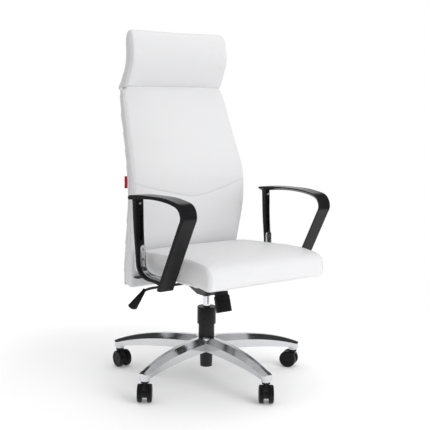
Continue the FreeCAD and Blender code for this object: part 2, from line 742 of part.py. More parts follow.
def back_blank():
    """The whole upholstered back: side view crossed with front view."""
    rear = [(z, y) for z, y, depth, crown, half in back_stations]
    front = [(z, y - depth - crown) for z, y, depth, crown, half in back_stations]
    low_z = rear[0][0]
    high_z = rear[-1][0]
    bottom = Part.Arc(Vector(0, front[0][1], low_z), Vector(0, (front[0][1] + rear[0][1]) / 2, back_end_z),
                      Vector(0, rear[0][1], low_z)).toShape()
    edges = [bottom, yz_curve(rear), line(Vector(0, rear[-1][1], high_z), Vector(0, front[-1][1], high_z)),
             yz_curve(front[::-1])]
    side = extrude(edges, Vector(600, 0, 0))
    side.translate(Vector(-300, 0, 0))
    outline = [(back_end_z - 2, back_stations[0][4] - 4)]
    outline += [(z, half) for z, y, depth, crown, half in back_stations]
    right = curve([Vector(half, 0, z) for z, half in outline])
    left = curve([Vector(-half, 0, z) for z, half in outline[::-1]])
    top_z, top_half = outline[-1]
    low_z, low_half = outline[0]
    face = [right, line(Vector(top_half, 0, top_z), Vector(-top_half, 0, top_z)), left,
            line(Vector(-low_half, 0, low_z), Vector(low_half, 0, low_z))]
    return side.common(extrude(face, Vector(0, 500, 0)))


def board_slab(z0, z1, half_low, half_high, front_offset, rear_offset):
    """A curved slab that follows the back, between two offsets from the board's rear face."""
    rear = [(z, y + rear_offset) for z, y in board_stations]
    front = [(z, y + front_offset) for z, y in board_stations]
    first, last = rear[0][0], rear[-1][0]
    edges = [yz_curve(rear), line(Vector(0, rear[-1][1], last), Vector(0, front[-1][1], last)),
             yz_curve(front[::-1]), line(Vector(0, front[0][1], first), Vector(0, rear[0][1], first))]
    slab = extrude(edges, Vector(800, 0, 0))
    slab.translate(Vector(-400, 0, 0))
    plan = [Vector(-half_low, -100, z0), Vector(half_low, -100, z0), Vector(half_high, -100, z1),
            Vector(-half_high, -100, z1)]
    return slab.common(polygon_solid(plan, Vector(0, 700, 0)))


def board_y(z):
    """Rear face of the back board at a height, between its stations."""
    for (z0, y0), (z1, y1) in zip(board_stations, board_stations[1:]):
        if z0 <= z <= z1:
            return y0 + (y1 - y0) * (z - z0) / (z1 - z0)
    return board_stations[0][1]


def headrest_blank():
    rear = [Vector(0, y, z) for z, y, front in headrest_stations]
    front = [Vector(0, front, z) for z, y, front in headrest_stations]
    crown = Part.Arc(rear[-1], Vector(0, headrest_top_y, headrest_top), front[-1]).toShape()
    edges = [curve(rear), crown, curve(front[::-1]), line(front[0], rear[0])]
    side = extrude(edges, Vector(2 * headrest_half_w, 0, 0))
    side.translate(Vector(-headrest_half_w, 0, 0))
    low = headrest_stations[0][0]
    high = headrest_top + 1
    front_view = box(-headrest_half_w, headrest_half_w, 0, 500, low - 1, high)
    corners = []
    for edge in front_view.Edges:
        centre = edge.CenterOfMass
        if centre.z > high - 0.1 and abs(centre.x) > headrest_half_w - 1:
            corners.append(edge)
    return side.common(front_view.makeFillet(headrest_corner_r, corners))


def make_back():
    blank = back_blank()
    top_z = back_stations[-1][0]
    wide = back_stations[0][4] - back_board_inset
    narrow = back_stations[-1][4] - back_board_inset
    neck = headrest_board_half_w
    lower = board_slab(back_board_low, top_z, wide, narrow, -back_board_t, 0)
    upper = board_slab(top_z, headrest_board_top, neck, neck, -back_board_t, 0)
    seam = board_slab(top_z - 1, top_z + 1, neck, neck, -back_board_t, 0)
    board = fuse_all([lower, upper, seam])
    behind = board_slab(0, top_z + 5, 500, 500, 0, 200)
    rear_cover = blank.common(behind)
    bolts, nuts, holes = back_fasteners()
    cushion = blank.cut(behind).cut(lower).cut(back_bracket_room()).cut(holes)
    board = board.cut(holes)
    rear_cover = rear_cover.cut(holes)
    save("back_board", board)
    save("back_rear_cover", rear_cover)
    save("back_cushion", cushion)
    save("headrest_cushion", headrest_blank().cut(upper))
    save("back_bolts", Part.makeCompound(bolts))
    return nuts


def back_fasteners():
    """Bolts from the bracket's uprights through the board, with their tee nuts behind it."""
    bolts = []
    nuts = []
    holes = []
    for side in (-1, 1):
        x_mid = side * bracket_leg_mid
        for z in back_bolt_heights:
            front = bracket_face_y(z) - bracket_t - 1.2
            back = board_y(z)
            bolt = Part.makeCylinder(bolt_r, back - front + 4, Vector(x_mid, front, z), Y_AXIS)
            head = Part.makeCylinder(bolt_head_r, bolt_head_h, Vector(x_mid, front - bolt_head_h, z), Y_AXIS)
            bolts.append(bolt.fuse(head))
            nut = Part.makeCylinder(tee_nut_r, 3, Vector(x_mid, back + 0.6, z), Y_AXIS)
            nuts.append(nut.cut(Part.makeCylinder(bolt_r, 20, Vector(x_mid, back - 5, z), Y_AXIS)))
            holes.append(Part.makeCylinder(tee_nut_r + 0.5, 4.5, Vector(x_mid, back + 0.1, z), Y_AXIS))
            holes.append(Part.makeCylinder(bolt_hole_r, 30, Vector(x_mid, back - 24, z), Y_AXIS))
    return bolts, nuts, fuse_all(holes)


def bracket_face_y(z):
    """Rear face of the bracket's uprights, just ahead of the curved board."""
    low = bracket_bar_z
    high = bracket_upright_top
    y_low = board_y(low) - back_board_t - 1.0
    y_high = board_y(high) - back_board_t - 1.0
    return y_low + (y_high - y_low) * (z - low) / (high - low)


def bracket_upright(x0, x1, grow):
    low = bracket_bar_z - grow
    high = bracket_upright_top + grow
    corners = [Vector(x0 - grow, bracket_face_y(low) - bracket_t - grow, low),
               Vector(x0 - grow, bracket_face_y(low) + grow * 0.4, low),
               Vector(x0 - grow, bracket_face_y(high) + grow * 0.4, high),
               Vector(x0 - grow, bracket_face_y(high) - bracket_t - grow, high)]
    return polygon_solid(corners, Vector(x1 - x0 + 2 * grow, 0, 0))


def back_bracket_room():
    """The pocket in the back cushion that the bracket's uprights, bar and bolt heads need."""
    pieces = []
    front_y = back_front_y() - 30
    for x0, x1 in bracket_legs:
        pieces.append(bracket_upright(x0, x1, 1.5))
        low = bracket_bar_z
        pieces.append(box(x0 - 1, x1 + 1, front_y, bracket_face_y(low), low - bracket_t - 1, low + 1))
        for z in back_bolt_heights:
            y = bracket_face_y(z) - bracket_t
            pieces.append(Part.makeCylinder(bolt_head_r + 1, bolt_head_h + 5,
                                            Vector((x0 + x1) / 2, y - bolt_head_h - 3, z), Y_AXIS))
    bar = bracket_bar_half + 1
    bar_low = bracket_bar_z - bracket_t
    pieces.append(box(-bar, bar, front_y, back_front_y() + side_gap, bar_low - 1, bracket_bar_z + 1))
    return fuse_all(pieces)


def make_back_bracket():
    """Two flat legs under the seat, a cross bar at the back's foot and two uprights inside the back."""
    bend_y, bend_z = seat_point(bracket_bend_y, 0)
    front_y, front_z = seat_point(bracket_front, 0)
    thick_y, thick_z = seat_point(bracket_bend_y - 2, -bracket_t)
    front_low_y, front_low_z = seat_point(bracket_front, -bracket_t)
    bar_front = back_front_y() - bracket_bar_depth
    low = bracket_bar_z - bracket_t
    pieces = []
    for x0, x1 in bracket_legs:
        rear = bracket_face_y(bracket_bar_z)
        outline = ((front_y, front_z), (bend_y, bend_z), (bar_front, bracket_bar_z), (rear, bracket_bar_z),
                   (rear, low), (bar_front - 2, low), (thick_y, thick_z), (front_low_y, front_low_z))
        pieces.append(polygon_solid([Vector(x0, y, z) for y, z in outline], Vector(x1 - x0, 0, 0)))
        pieces.append(bracket_upright(x0, x1, 0))
    bar = box(-bracket_bar_half, bracket_bar_half, bar_front, back_front_y() - side_gap, low, bracket_bar_z)
    bracket = fuse_all(pieces + [bar])
    for x, y in bracket_bolts:
        bracket = bracket.cut(seated(rod(bolt_hole_r, -20, 10, x, y)))
    for bolt_side in (-1, 1):
        x_mid = bolt_side * bracket_leg_mid
        for z in back_bolt_heights:
            start = Vector(x_mid, bracket_face_y(z) - 30, z)
            bracket = bracket.cut(Part.makeCylinder(bolt_r, 60, start, Y_AXIS))
    save("back_bracket", bracket)


def back_front_y():
    """Front face of the back where the cross bar meets it."""
    z, y, depth, crown, half = back_stations[0]
    return y - depth - crown


# ---------------------------------------------------------------- armrests
def yz_points(x, pairs):
    return [Vector(x, y, z) for y, z in pairs]


def loop_wire(x, inset, pad_t, leg_t):
    """Side outline of the pad and the front leg at one width station."""
    top = arm_top_z - inset
    front = arm_front_y + inset
    rear = arm_pad_rear_y - inset
    knee = arm_straight_z
    slope = (arm_leg_low_y - arm_front_y) / (knee - arm_leg_low_z)
    slant = (leg_t - inset) * math.sqrt(1 + slope ** 2)
    under = arm_top_z - pad_t
    foot = arm_leg_low_y + inset
    face = front + slant
    outer = yz_points(x, ((rear - 5, top - 10), (rear - 60, top - 4), (front + 180, top - 0.5),
                          (front + 102, top), (front + 45, top - 6), (front + 11, top - 16),
                          (front - 6, top - 40), (front, knee)))
    low = yz_points(x, ((foot, arm_leg_low_z), (foot + slant, arm_leg_low_z)))
    inner = yz_points(x, ((face, knee), (face - 6, knee + 24), (face + 3, under - 19), (face + 35, under - 6),
                          (face + 85, under), (front + 208, under - 1), (rear - 55, under - 7),
                          (rear - 6, under - 12)))
    tip = Vector(x, rear, arm_top_z - 16 - inset)
    edges = [curve(outer), line(outer[-1], low[0]), line(low[0], low[1]), line(low[1], inner[0]),
             curve(inner), line(inner[-1], tip), line(tip, outer[0])]
    return Part.Wire(edges)


def arm_loop():
    """Pad and front leg in one moulding, thinner towards its inner side."""
    stations = ((arm_inner_x, 0.0, arm_side_t, arm_side_t),
                (arm_inner_x + arm_inner_bevel, 0.0, arm_pad_t, arm_leg_t),
                (arm_outer_x - arm_edge, 0.0, arm_pad_t, arm_leg_t),
                (arm_outer_x, arm_edge, arm_pad_t, arm_leg_t))
    return Part.makeLoft([loop_wire(*station) for station in stations], True, True)


def post_points(x, depths):
    """The post's line moved towards the loop's inside by a depth at each point."""
    points = []
    last = len(post_line) - 1
    for index, (y, z) in enumerate(post_line):
        before = post_line[max(0, index - 1)]
        after = post_line[min(last, index + 1)]
        along_y = after[0] - before[0]
        along_z = after[1] - before[1]
        length = math.hypot(along_y, along_z)
        depth = depths[index]
        points.append(Vector(x, y + depth * along_z / length, z - depth * along_y / length))
    return points


def ribbon_wire(x, rear_depths, front_depths):
    rear = post_points(x, rear_depths)
    front = post_points(x, front_depths)
    return Part.Wire([curve(rear), line(rear[-1], front[-1]), curve(front[::-1]), line(front[0], rear[0])])


def shares(amount):
    return [depth * amount for depth in post_depths]


def post_blank(x0, x1):
    """The post with its rear inner and front outer edges bevelled."""
    stations = ((x0, post_bevel_share, 1.0), (x0 + post_bevel_x, 0.0, 1.0), (x1 - post_bevel_x, 0.0, 1.0),
                (x1, 0.0, 1.0 - post_bevel_share))
    wires = [ribbon_wire(x, shares(rear), shares(front)) for x, rear, front in stations]
    return Part.makeLoft(wires, True, True)


def arm_post():
    post = post_blank(post_inner_x, post_outer_x)
    mid = (post_inner_x + post_outer_x) / 2
    front = post_points(mid, shares(1.0))
    groove = box(mid - 6, mid + 6, front[2].y - 20, front[1].y + 5, arm_bar_top + 15, arm_top_z - 60)
    return post.cut(groove).cut(arm_loop())


def bar_blank(x0, x1, depth):
    """The bright bar: a strip that lies on the post's inner face."""
    outer = [own + depth for own in post_depths]
    return Part.makeLoft([ribbon_wire(x, shares(1.0), outer) for x in (x0, x1)], True, True)


def arm_bracket():
    """Bright bar inside the post's lower bend, with a flange that turns in under the seat."""
    bar = bar_blank(post_inner_x, post_outer_x - post_bevel_x, arm_bar_t)
    mid = (post_inner_x + post_outer_x - post_bevel_x) / 2
    half = (post_outer_x - post_bevel_x - post_inner_x) / 2
    rounded = Part.makeCylinder(half, 600, Vector(mid, -400, arm_bar_top - half), Y_AXIS)
    bar = bar.common(rounded.fuse(box(0, 600, -400, 200, 0, arm_bar_top - half)))
    bar = bar.cut(arm_loop())
    joint = bar_blank(post_inner_x - flange_bend, post_inner_x + 1, arm_bar_t)
    joint = joint.common(seated(box(0, 600, flange_front, flange_rear, -40, 40)))
    wing_end = post_inner_x - 2
    tray = seated(box(post_inner_x - flange_bend, wing_end, flange_front, flange_rear, -flange_t, flange_t + 4))
    wing = seated(box(flange_inner_x, wing_end, flange_front, flange_rear, -flange_t, 0))
    bracket = fuse_all([bar, joint, tray, wing]).cut(post_blank(post_inner_x - 20, post_outer_x + 20))
    for x, y in arm_bolts:
        bracket = bracket.cut(seated(rod(bolt_hole_r, -20, 10, x, y)))
    return bracket


def arm_screws():
    """Two screws that hold the bright bar to the post."""
    mid = (post_inner_x + post_outer_x - post_bevel_x) / 2
    screws = []
    face = post_points(mid, shares(1.0))[2]
    for lift in arm_screw_lifts:
        start = Vector(mid, face.y - 13 + lift * 0.1, face.z + lift)
        screws.append(Part.makeCylinder(arm_screw_r, arm_screw_length, start, Y_AXIS))
    return screws


def make_arms():
    loop = arm_loop()
    post = arm_post()
    bracket = arm_bracket()
    holes = fuse_all(arm_screws())
    post = post.cut(holes)
    bracket = bracket.cut(holes)
    bolts = []
    for x, y in arm_bolts:
        bolts.append(seated(seat_bolt(x, y, -flange_t)))
    for screw in arm_screws():
        bolts.append(screw)
        bolts.append(mirrored(screw))
    for name, shape in (("arm_loop", loop), ("arm_post", post), ("arm_bracket", bracket)):
        save("left_" + name, shape)
        save("right_" + name, mirrored(shape))
    save("arm_bolts", Part.makeCompound(bolts))


def make_tab():
    """Blank fabric tab sewn into the back's rear edge, on the sitter's right."""
    low = tab_low_z
    high = low + tab_height
    rear_low = board_y(low) + rear_cover_t
    rear_high = board_y(high) + rear_cover_t
    x = -back_stations[4][4] + 3
    corners = [Vector(x, rear_low - tab_sewn_in, low), Vector(x, rear_low + tab_width, low),
               Vector(x, rear_high + tab_width, high), Vector(x, rear_high - tab_sewn_in, high)]
    save("label_tab", polygon_solid(corners, Vector(tab_t, 0, 0)))


make_casters()
make_base()
make_lift()
make_covers()
make_mechanism()
make_tension()
make_lever()
seat_nuts = make_seat()
back_nuts = make_back()
save("tee_nuts", Part.makeCompound([seated(nut) for nut in seat_nuts] + back_nuts))
make_back_bracket()
make_arms()
make_tab()
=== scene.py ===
import math

import bmesh
import bpy
from bpy.props import FloatProperty, FloatVectorProperty, PointerProperty
from mathutils import Matrix, Vector
from mathutils.bvhtree import BVHTree
from mathutils.kdtree import KDTree


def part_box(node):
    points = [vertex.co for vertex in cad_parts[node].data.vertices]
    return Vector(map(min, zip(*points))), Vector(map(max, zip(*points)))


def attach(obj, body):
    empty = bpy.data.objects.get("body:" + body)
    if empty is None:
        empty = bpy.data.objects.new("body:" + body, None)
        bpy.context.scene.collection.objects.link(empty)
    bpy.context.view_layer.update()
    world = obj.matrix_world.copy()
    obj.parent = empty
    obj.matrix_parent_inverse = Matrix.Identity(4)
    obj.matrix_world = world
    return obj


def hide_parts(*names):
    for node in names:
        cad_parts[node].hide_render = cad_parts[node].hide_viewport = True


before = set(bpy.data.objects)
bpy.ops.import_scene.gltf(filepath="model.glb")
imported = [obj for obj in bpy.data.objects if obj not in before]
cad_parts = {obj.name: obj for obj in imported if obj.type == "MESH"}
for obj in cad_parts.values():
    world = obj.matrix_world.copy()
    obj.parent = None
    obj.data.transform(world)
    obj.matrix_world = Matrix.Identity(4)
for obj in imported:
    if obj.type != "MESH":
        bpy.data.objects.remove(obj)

bl_info = {
    "name": "Executive swivel chair",
    "version": (1, 0, 0),
    "blender": (4, 5, 0),
    "location": "View3D > Sidebar > Chair",
    "description": "Upholstery, trim and finishes of a high-backed swivel chair, built round its CAD frame",
    "category": "Object",
}

# The upholstery is leatherette sewn over foam: a seat with a wrapped nose, a back with a crowned
# front panel and boxed edges, and a headrest roll. Metres, +Z up, the sitter faces -Y.
BODY = "seat"
LEATHER_SLOT = "white_leatherette"
SIDES = ((-1, "right"), (1, "left"))
UP = Vector((0, 0, 1))
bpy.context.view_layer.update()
SEAT_LOW, SEAT_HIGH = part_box("seat_cushion")
BACK_LOW, BACK_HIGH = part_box("back_cushion")
COVER_LOW, COVER_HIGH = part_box("back_rear_cover")
HEAD_LOW, HEAD_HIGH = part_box("headrest_cushion")


# ---------------------------------------------------------------- settings
class ChairUpholstery(bpy.types.PropertyGroup):
    """Sizes and colours of the sewn parts."""
    leather: FloatVectorProperty(
        name="Leatherette", description="Colour of the seat, back and headrest",
        subtype="COLOR", size=3, min=0, max=1, default=(0.80, 0.80, 0.81))
    thread: FloatVectorProperty(
        name="Thread", description="Colour of the stitching",
        subtype="COLOR", size=3, min=0, max=1, default=(0.70, 0.70, 0.71))
    tape: FloatVectorProperty(
        name="Side tab", description="Colour of the blank woven tab",
        subtype="COLOR", size=3, min=0, max=1, default=(0.85, 0.010, 0.030))
    seat_pitch: FloatProperty(
        name="Seat pitch", description="How far the seat's front edge is tipped up",
        unit="ROTATION", default=math.radians(3.2))
    seat_height: FloatProperty(
        name="Seat height", description="Height of the seat's underside above the column",
        unit="LENGTH", default=0.389)
    shoulder: FloatProperty(
        name="Shoulder radius", description="Rounding between a panel and its boxed edge",
        unit="LENGTH", min=0, default=0.013)
    swell: FloatProperty(
        name="Swell", description="How far the foam may push the cover out between its seams",
        unit="LENGTH", min=0, default=0.012)
    start_inset: FloatProperty(
        name="Slack", description="How much smaller the cover is cut than the foam it holds",
        unit="LENGTH", min=0, default=0.005)
    welt_radius: FloatProperty(
        name="Welt radius", description="Half the thickness of the sewn welt along an edge",
        unit="LENGTH", min=0, default=0.0013)
    proud: FloatProperty(
        name="Proud", description="How far the filled cover stands out past the bare foam",
        unit="LENGTH", min=0, default=0.005)
    stitch_pitch: FloatProperty(
        name="Stitch pitch", description="From one stitch to the next",
        unit="LENGTH", min=0.001, default=0.0065)
    stitch_radius: FloatProperty(
        name="Thread radius", description="Half the thread's thickness",
        unit="LENGTH", min=0, default=0.00045)


class ChairHardware(bpy.types.PropertyGroup):
    """Colours of the frame, the trim and the running gear."""
    plastic: FloatVectorProperty(
        name="Black plastic", description="Colour of the moulded parts",
        subtype="COLOR", size=3, min=0, max=1, default=(0.007, 0.007, 0.0075))
    coat: FloatVectorProperty(
        name="Powder coat", description="Colour of the coated steel",
        subtype="COLOR", size=3, min=0, max=1, default=(0.008, 0.008, 0.0085))
    aluminium: FloatVectorProperty(
        name="Polished aluminium", description="Colour of the star base",
        subtype="COLOR", size=3, min=0, max=1, default=(0.62, 0.625, 0.64))
    chrome: FloatVectorProperty(
        name="Chrome", description="Colour of the bright plated parts",
        subtype="COLOR", size=3, min=0, max=1, default=(0.68, 0.685, 0.70))
    zinc: FloatVectorProperty(
        name="Zinc plate", description="Colour of the screws, bolts and pins",
        subtype="COLOR", size=3, min=0, max=1, default=(0.58, 0.59, 0.60))
    wood: FloatVectorProperty(
        name="Plywood", description="Colour of the hidden boards",
        subtype="COLOR", size=3, min=0, max=1, default=(0.52, 0.36, 0.20))
    cloth: FloatVectorProperty(
        name="Dust cover", description="Colour of the non-woven cover under the seat",
        subtype="COLOR", size=3, min=0, max=1, default=(0.018, 0.018, 0.020))


class ChairStage(bpy.types.PropertyGroup):
    """Camera, floor and light."""
    lens: FloatProperty(
        name="Lens", description="Focal length of the camera", unit="CAMERA", default=71.64)
    eye: FloatVectorProperty(
        name="Camera place", description="Where the camera stands",
        subtype="TRANSLATION", unit="LENGTH", size=3, default=(-1.726, -2.401, 0.976))
    heading: FloatProperty(
        name="Heading", description="Turn of the camera about the vertical",
        unit="ROTATION", default=math.radians(-36.22))
    pitch: FloatProperty(
        name="Downward tilt", description="How far the camera looks down",
        unit="ROTATION", default=math.radians(7.72))
    roll: FloatProperty(
        name="Roll", description="Turn of the camera about its own axis",
        unit="ROTATION", default=math.radians(0.59))
    ambient: FloatProperty(
        name="Ambient", description="Brightness of the even light from all round", min=0, default=0.64)
    floor: FloatVectorProperty(
        name="Floor", description="Colour of the floor",
        subtype="COLOR", size=3, min=0, max=1, default=(0.95, 0.95, 0.95))
    floor_glow: FloatProperty(
        name="Floor glow", description="Light that comes through the floor", min=0, default=0.12)
    key_power: FloatProperty(
        name="Key light", description="Power of the large light ahead of the chair",
        unit="POWER", default=58.0)
    front_power: FloatProperty(
        name="Front light", description="Power of the low light ahead of the chair",
        unit="POWER", default=34.0)
    fill_power: FloatProperty(
        name="Fill light", description="Power of the light at the sitter's right", unit="POWER", default=3.0)
    top_power: FloatProperty(
        name="Top light", description="Power of the light overhead", unit="POWER", default=36.0)


# ---------------------------------------------------------------- materials
class Finish:
    """A material under construction: its node tree and principled shader."""

    def __init__(self, name):
        self.material = bpy.data.materials.new(name)
        self.material.use_nodes = True
        self.tree = self.material.node_tree
        self.shader = self.tree.nodes["Principled BSDF"]
        self.place = self.tree.nodes.new("ShaderNodeTexCoord").outputs["Object"]

    def constant(self, **values):
        for socket, value in values.items():
            self.shader.inputs[socket.replace("_", " ")].default_value = value

    def node(self, kind, inputs=None, **settings):
        made = self.tree.nodes.new(kind)
        for key, value in settings.items():
            setattr(made, key, value)
        for socket, value in (inputs or {}).items():
            if isinstance(value, bpy.types.NodeSocket):
                self.tree.links.new(value, made.inputs[socket])
            else:
                made.inputs[socket].default_value = value
        return made

    def stretched(self, scale):
        return self.node("ShaderNodeMapping", {"Vector": self.place, "Scale": scale}).outputs["Vector"]

    def noise(self, scale, detail=4.0, roughness=0.55, place=None, distortion=0.0):
        inputs = {"Vector": place or self.place, "Scale": scale, "Detail": detail, "Roughness": roughness,
                  "Distortion": distortion}
        return self.node("ShaderNodeTexNoise", inputs).outputs["Fac"]

    def cells(self, scale, feature="F1", randomness=1.0):
        inputs = {"Vector": self.place, "Scale": scale, "Randomness": randomness}
        return self.node("ShaderNodeTexVoronoi", inputs, feature=feature).outputs["Distance"]

    def waves(self, scale, distortion, **settings):
        inputs = {"Vector": self.place, "Scale": scale, "Distortion": distortion}
        return self.node("ShaderNodeTexWave", inputs, **settings).outputs["Fac"]

    def spread(self, value, low, high, start=0.0, end=1.0):
        return self.node("ShaderNodeMapRange", {"Value": value, "From Min": start, "From Max": end,
                                                "To Min": low, "To Max": high}).outputs["Result"]

    def ramp(self, value, *stops):
        made = self.node("ShaderNodeValToRGB", {"Fac": value})
        elements = made.color_ramp.elements
        while len(elements) < len(stops):
            elements.new(0.5)
        for element, (position, colour) in zip(elements, stops):
            element.position = position
            element.color = (*colour, 1)
        return made.outputs["Color"]

    def wear_and_hollow_shade(self, low, high):
        """Nought in the hollows and one along the proud edges; it masks rubbed edges, and painted shade in
        the hollows.
        """
        point = self.node("ShaderNodeNewGeometry").outputs["Pointiness"]
        return self.spread(point, 0.0, 1.0, low, high)

    def blend(self, amount, first, second):
        made = self.node("ShaderNodeMix", data_type="RGBA")
        sockets = (made.inputs["Factor"], made.inputs[6], made.inputs[7])
        for socket, value in zip(sockets, (amount, first, second)):
            if isinstance(value, bpy.types.NodeSocket):
                self.tree.links.new(value, socket)
            else:
                socket.default_value = (*value, 1) if isinstance(value, tuple) else value
        return made.outputs[2]

    def add(self, first, second, operation="ADD"):
        return self.node("ShaderNodeMath", {0: first, 1: second}, operation=operation).outputs[0]

    def bumped(self, *layers):
        """Height layers, each with its depth in metres, laid one over another."""
        normal = None
        for height, depth in layers:
            inputs = {"Height": height, "Distance": depth, "Strength": 1.0}
            if normal:
                inputs["Normal"] = normal
            normal = self.node("ShaderNodeBump", inputs).outputs["Normal"]
        self.tree.links.new(normal, self.shader.inputs["Normal"])

    def colour(self, socket):
        self.tree.links.new(socket, self.shader.inputs["Base Color"])

    def rough(self, socket):
        self.tree.links.new(socket, self.shader.inputs["Roughness"])


def shade(colour, factor):
    return tuple(min(1.0, channel * factor) for channel in colour)


def made_once(maker):
    """Each finish is built the first time that a piece asks for it."""
    built = {}

    def get():
        if maker.__name__ not in built:
            built[maker.__name__] = maker()
        return built[maker.__name__]
    return get


@made_once
def white_leatherette():
    """Pebbled leatherette: fine creases between its grains, a soft crumple, a thin satin coat, and painted
    shade in its seams and hollows.
    """
    look = Finish("white_leatherette")
    base = tuple(upholstery().leather)
    cloud = look.noise(9.0, 3.0)
    tone = look.ramp(cloud, (0.30, shade(base, 0.975)), (0.72, base))
    creases = look.cells(620.0, "DISTANCE_TO_EDGE")
    tone = look.blend(look.spread(creases, 1.0, 0.0, 0.0, 0.10), tone, shade(base, 0.93))
    # Painted shade: the seams and hollows are painted a tenth darker than the proud parts.
    edge = look.wear_and_hollow_shade(0.47, 0.535)
    look.colour(look.blend(edge, shade(base, 0.90), tone))
    look.rough(look.add(look.spread(look.noise(55.0, 5.0), 0.40, 0.56), look.spread(cloud, -0.03, 0.03)))
    look.constant(Coat_Weight=0.10, Coat_Roughness=0.32, Specular_IOR_Level=0.42,
                  Subsurface_Weight=0.0, Sheen_Weight=0.05, Sheen_Roughness=0.5)
    look.bumped((look.spread(creases, 0.0, 1.0, 0.0, 0.22), 0.00010), (look.noise(1500.0, 3.0), 0.00004),
                (look.noise(38.0, 2.0), 0.0006))
    return look.material


@made_once
def sewing_thread():
    look = Finish("sewing_thread")
    base = tuple(upholstery().thread)
    twist = look.waves(900.0, 1.5)
    look.colour(look.ramp(twist, (0.1, shade(base, 0.8)), (0.8, base)))
    look.rough(look.spread(twist, 0.75, 0.55))
    look.bumped((twist, 0.0002))
    return look.material


@made_once
def red_tape():
    """Plain woven tape: warp over weft."""
    look = Finish("red_tape")
    base = tuple(upholstery().tape)
    warp = look.waves(420.0, 0.4, bands_direction="Z")
    weft = look.waves(420.0, 0.4, bands_direction="Y")
    weave = look.add(warp, weft, "MULTIPLY")
    look.colour(look.ramp(weave, (0.0, shade(base, 0.55)), (0.6, base)))
    look.rough(look.spread(weave, 0.85, 0.6))
    look.constant(Sheen_Weight=0.25, Sheen_Roughness=0.5)
    look.bumped((weave, 0.0003))
    return look.material


def moulded(name, base, gloss, texture):
    """Moulded plastic with an eroded tool texture and rubbed edges."""
    look = Finish(name)
    cloud = look.noise(14.0, 5.0)
    edge = look.wear_and_hollow_shade(0.53, 0.62)
    tone = look.ramp(cloud, (0.25, shade(base, 0.75)), (0.8, shade(base, 1.25)))
    look.colour(look.blend(edge, tone, shade(base, 3.2)))
    marks = look.spread(look.noise(70.0, 6.0, 0.7), -0.06, 0.08)
    look.rough(look.add(look.spread(edge, gloss, gloss - 0.08), marks))
    look.constant(Specular_IOR_Level=0.16)
    look.bumped((look.noise(1300.0, 2.0), texture), (look.cells(850.0), texture * 0.7),
                (look.noise(22.0, 2.0), 0.0002))
    return look.material


@made_once
def satin_nylon():
    return moulded("satin_nylon", tuple(hardware().plastic), 0.26, 0.00003)


@made_once
def cover_plastic():
    return moulded("cover_plastic", tuple(hardware().plastic), 0.32, 0.00005)


@made_once
def caster_nylon():
    return moulded("caster_nylon", shade(tuple(hardware().plastic), 1.3), 0.32, 0.00005)


@made_once
def grained_plastic():
    return moulded("grained_plastic", tuple(hardware().plastic), 0.38, 0.00008)


@made_once
def powder_coat():
    """Orange-peel powder coat on pressed steel, with rubbed edges."""
    look = Finish("powder_coat")
    base = tuple(hardware().coat)
    edge = look.wear_and_hollow_shade(0.55, 0.66)
    cloud = look.noise(20.0, 4.0)
    tone = look.ramp(cloud, (0.3, shade(base, 0.8)), (0.8, shade(base, 1.3)))
    look.colour(look.blend(edge, tone, shade(base, 4.0)))
    look.rough(look.spread(look.noise(90.0, 5.0), 0.34, 0.52))
    look.bumped((look.noise(700.0, 2.0), 0.00012), (cloud, 0.0003))
    return look.material


def polished(name, base, low, high, ripple, scratch):
    """Bright metal: smudges in the gloss, faint polishing lines and slow ripples."""
    look = Finish(name)
    smudge = look.noise(16.0, 6.0, 0.65)
    lines = look.noise(60.0, 6.0, 0.7, look.stretched((1.0, 1.0, 34.0)))
    tone = look.ramp(look.noise(7.0, 3.0), (0.25, shade(base, 0.93)), (0.8, base))
    edge = look.wear_and_hollow_shade(0.50, 0.60)
    look.colour(look.blend(edge, tone, shade(base, 1.12)))
    look.rough(look.add(look.spread(smudge, low, high, 0.3, 0.75), look.spread(lines, -0.01, 0.02)))
    look.constant(Metallic=1.0)
    look.bumped((look.noise(10.0, 2.0), ripple), (lines, scratch))
    return look.material


@made_once
def polished_aluminium():
    return polished("polished_aluminium", tuple(hardware().aluminium), 0.10, 0.17, 0.0004, 0.000004)


@made_once
def bright_chrome():
    return polished("bright_chrome", tuple(hardware().chrome), 0.05, 0.13, 0.0003, 0.000003)


@made_once
def zinc_plate():
    look = Finish("zinc_plate")
    base = tuple(hardware().zinc)
    spangle = look.cells(220.0)
    look.colour(look.ramp(look.add(spangle, look.noise(60.0), "MULTIPLY"),
                          (0.05, shade(base, 0.82)), (0.6, shade(base, 1.08))))
    look.rough(look.spread(look.noise(130.0, 5.0), 0.22, 0.42))
    look.constant(Metallic=1.0)
    look.bumped((look.noise(900.0, 2.0), 0.00002))
    return look.material


@made_once
def plywood():
    """Stacked plies seen at the board's edge and long grain on its faces."""
    look = Finish("plywood")
    base = tuple(hardware().wood)
    grain = look.noise(8.0, 8.0, 0.6, look.stretched((2.0, 14.0, 60.0)), 1.2)
    plies = look.waves(170.0, 0.6, bands_direction="Z")
    tone = look.ramp(grain, (0.3, shade(base, 0.72)), (0.7, shade(base, 1.15)))
    look.colour(look.blend(look.spread(plies, 0.0, 0.35), tone, shade(base, 0.6)))
    look.rough(look.spread(grain, 0.62, 0.8))
    look.bumped((grain, 0.0003))
    return look.material


@made_once
def dust_cloth():
    """Spun, point-bonded cloth."""
    look = Finish("dust_cloth")
    base = tuple(hardware().cloth)
    fibres = look.noise(420.0, 8.0, 0.75, None, 2.0)
    bonds = look.cells(900.0, "F1", 0.1)
    look.colour(look.ramp(fibres, (0.3, shade(base, 0.6)), (0.75, shade(base, 1.9))))
    look.rough(look.spread(fibres, 0.85, 0.98))
    look.constant(Sheen_Weight=0.2, Sheen_Roughness=0.6)
    look.bumped((fibres, 0.0002), (bonds, 0.0002))
    return look.material


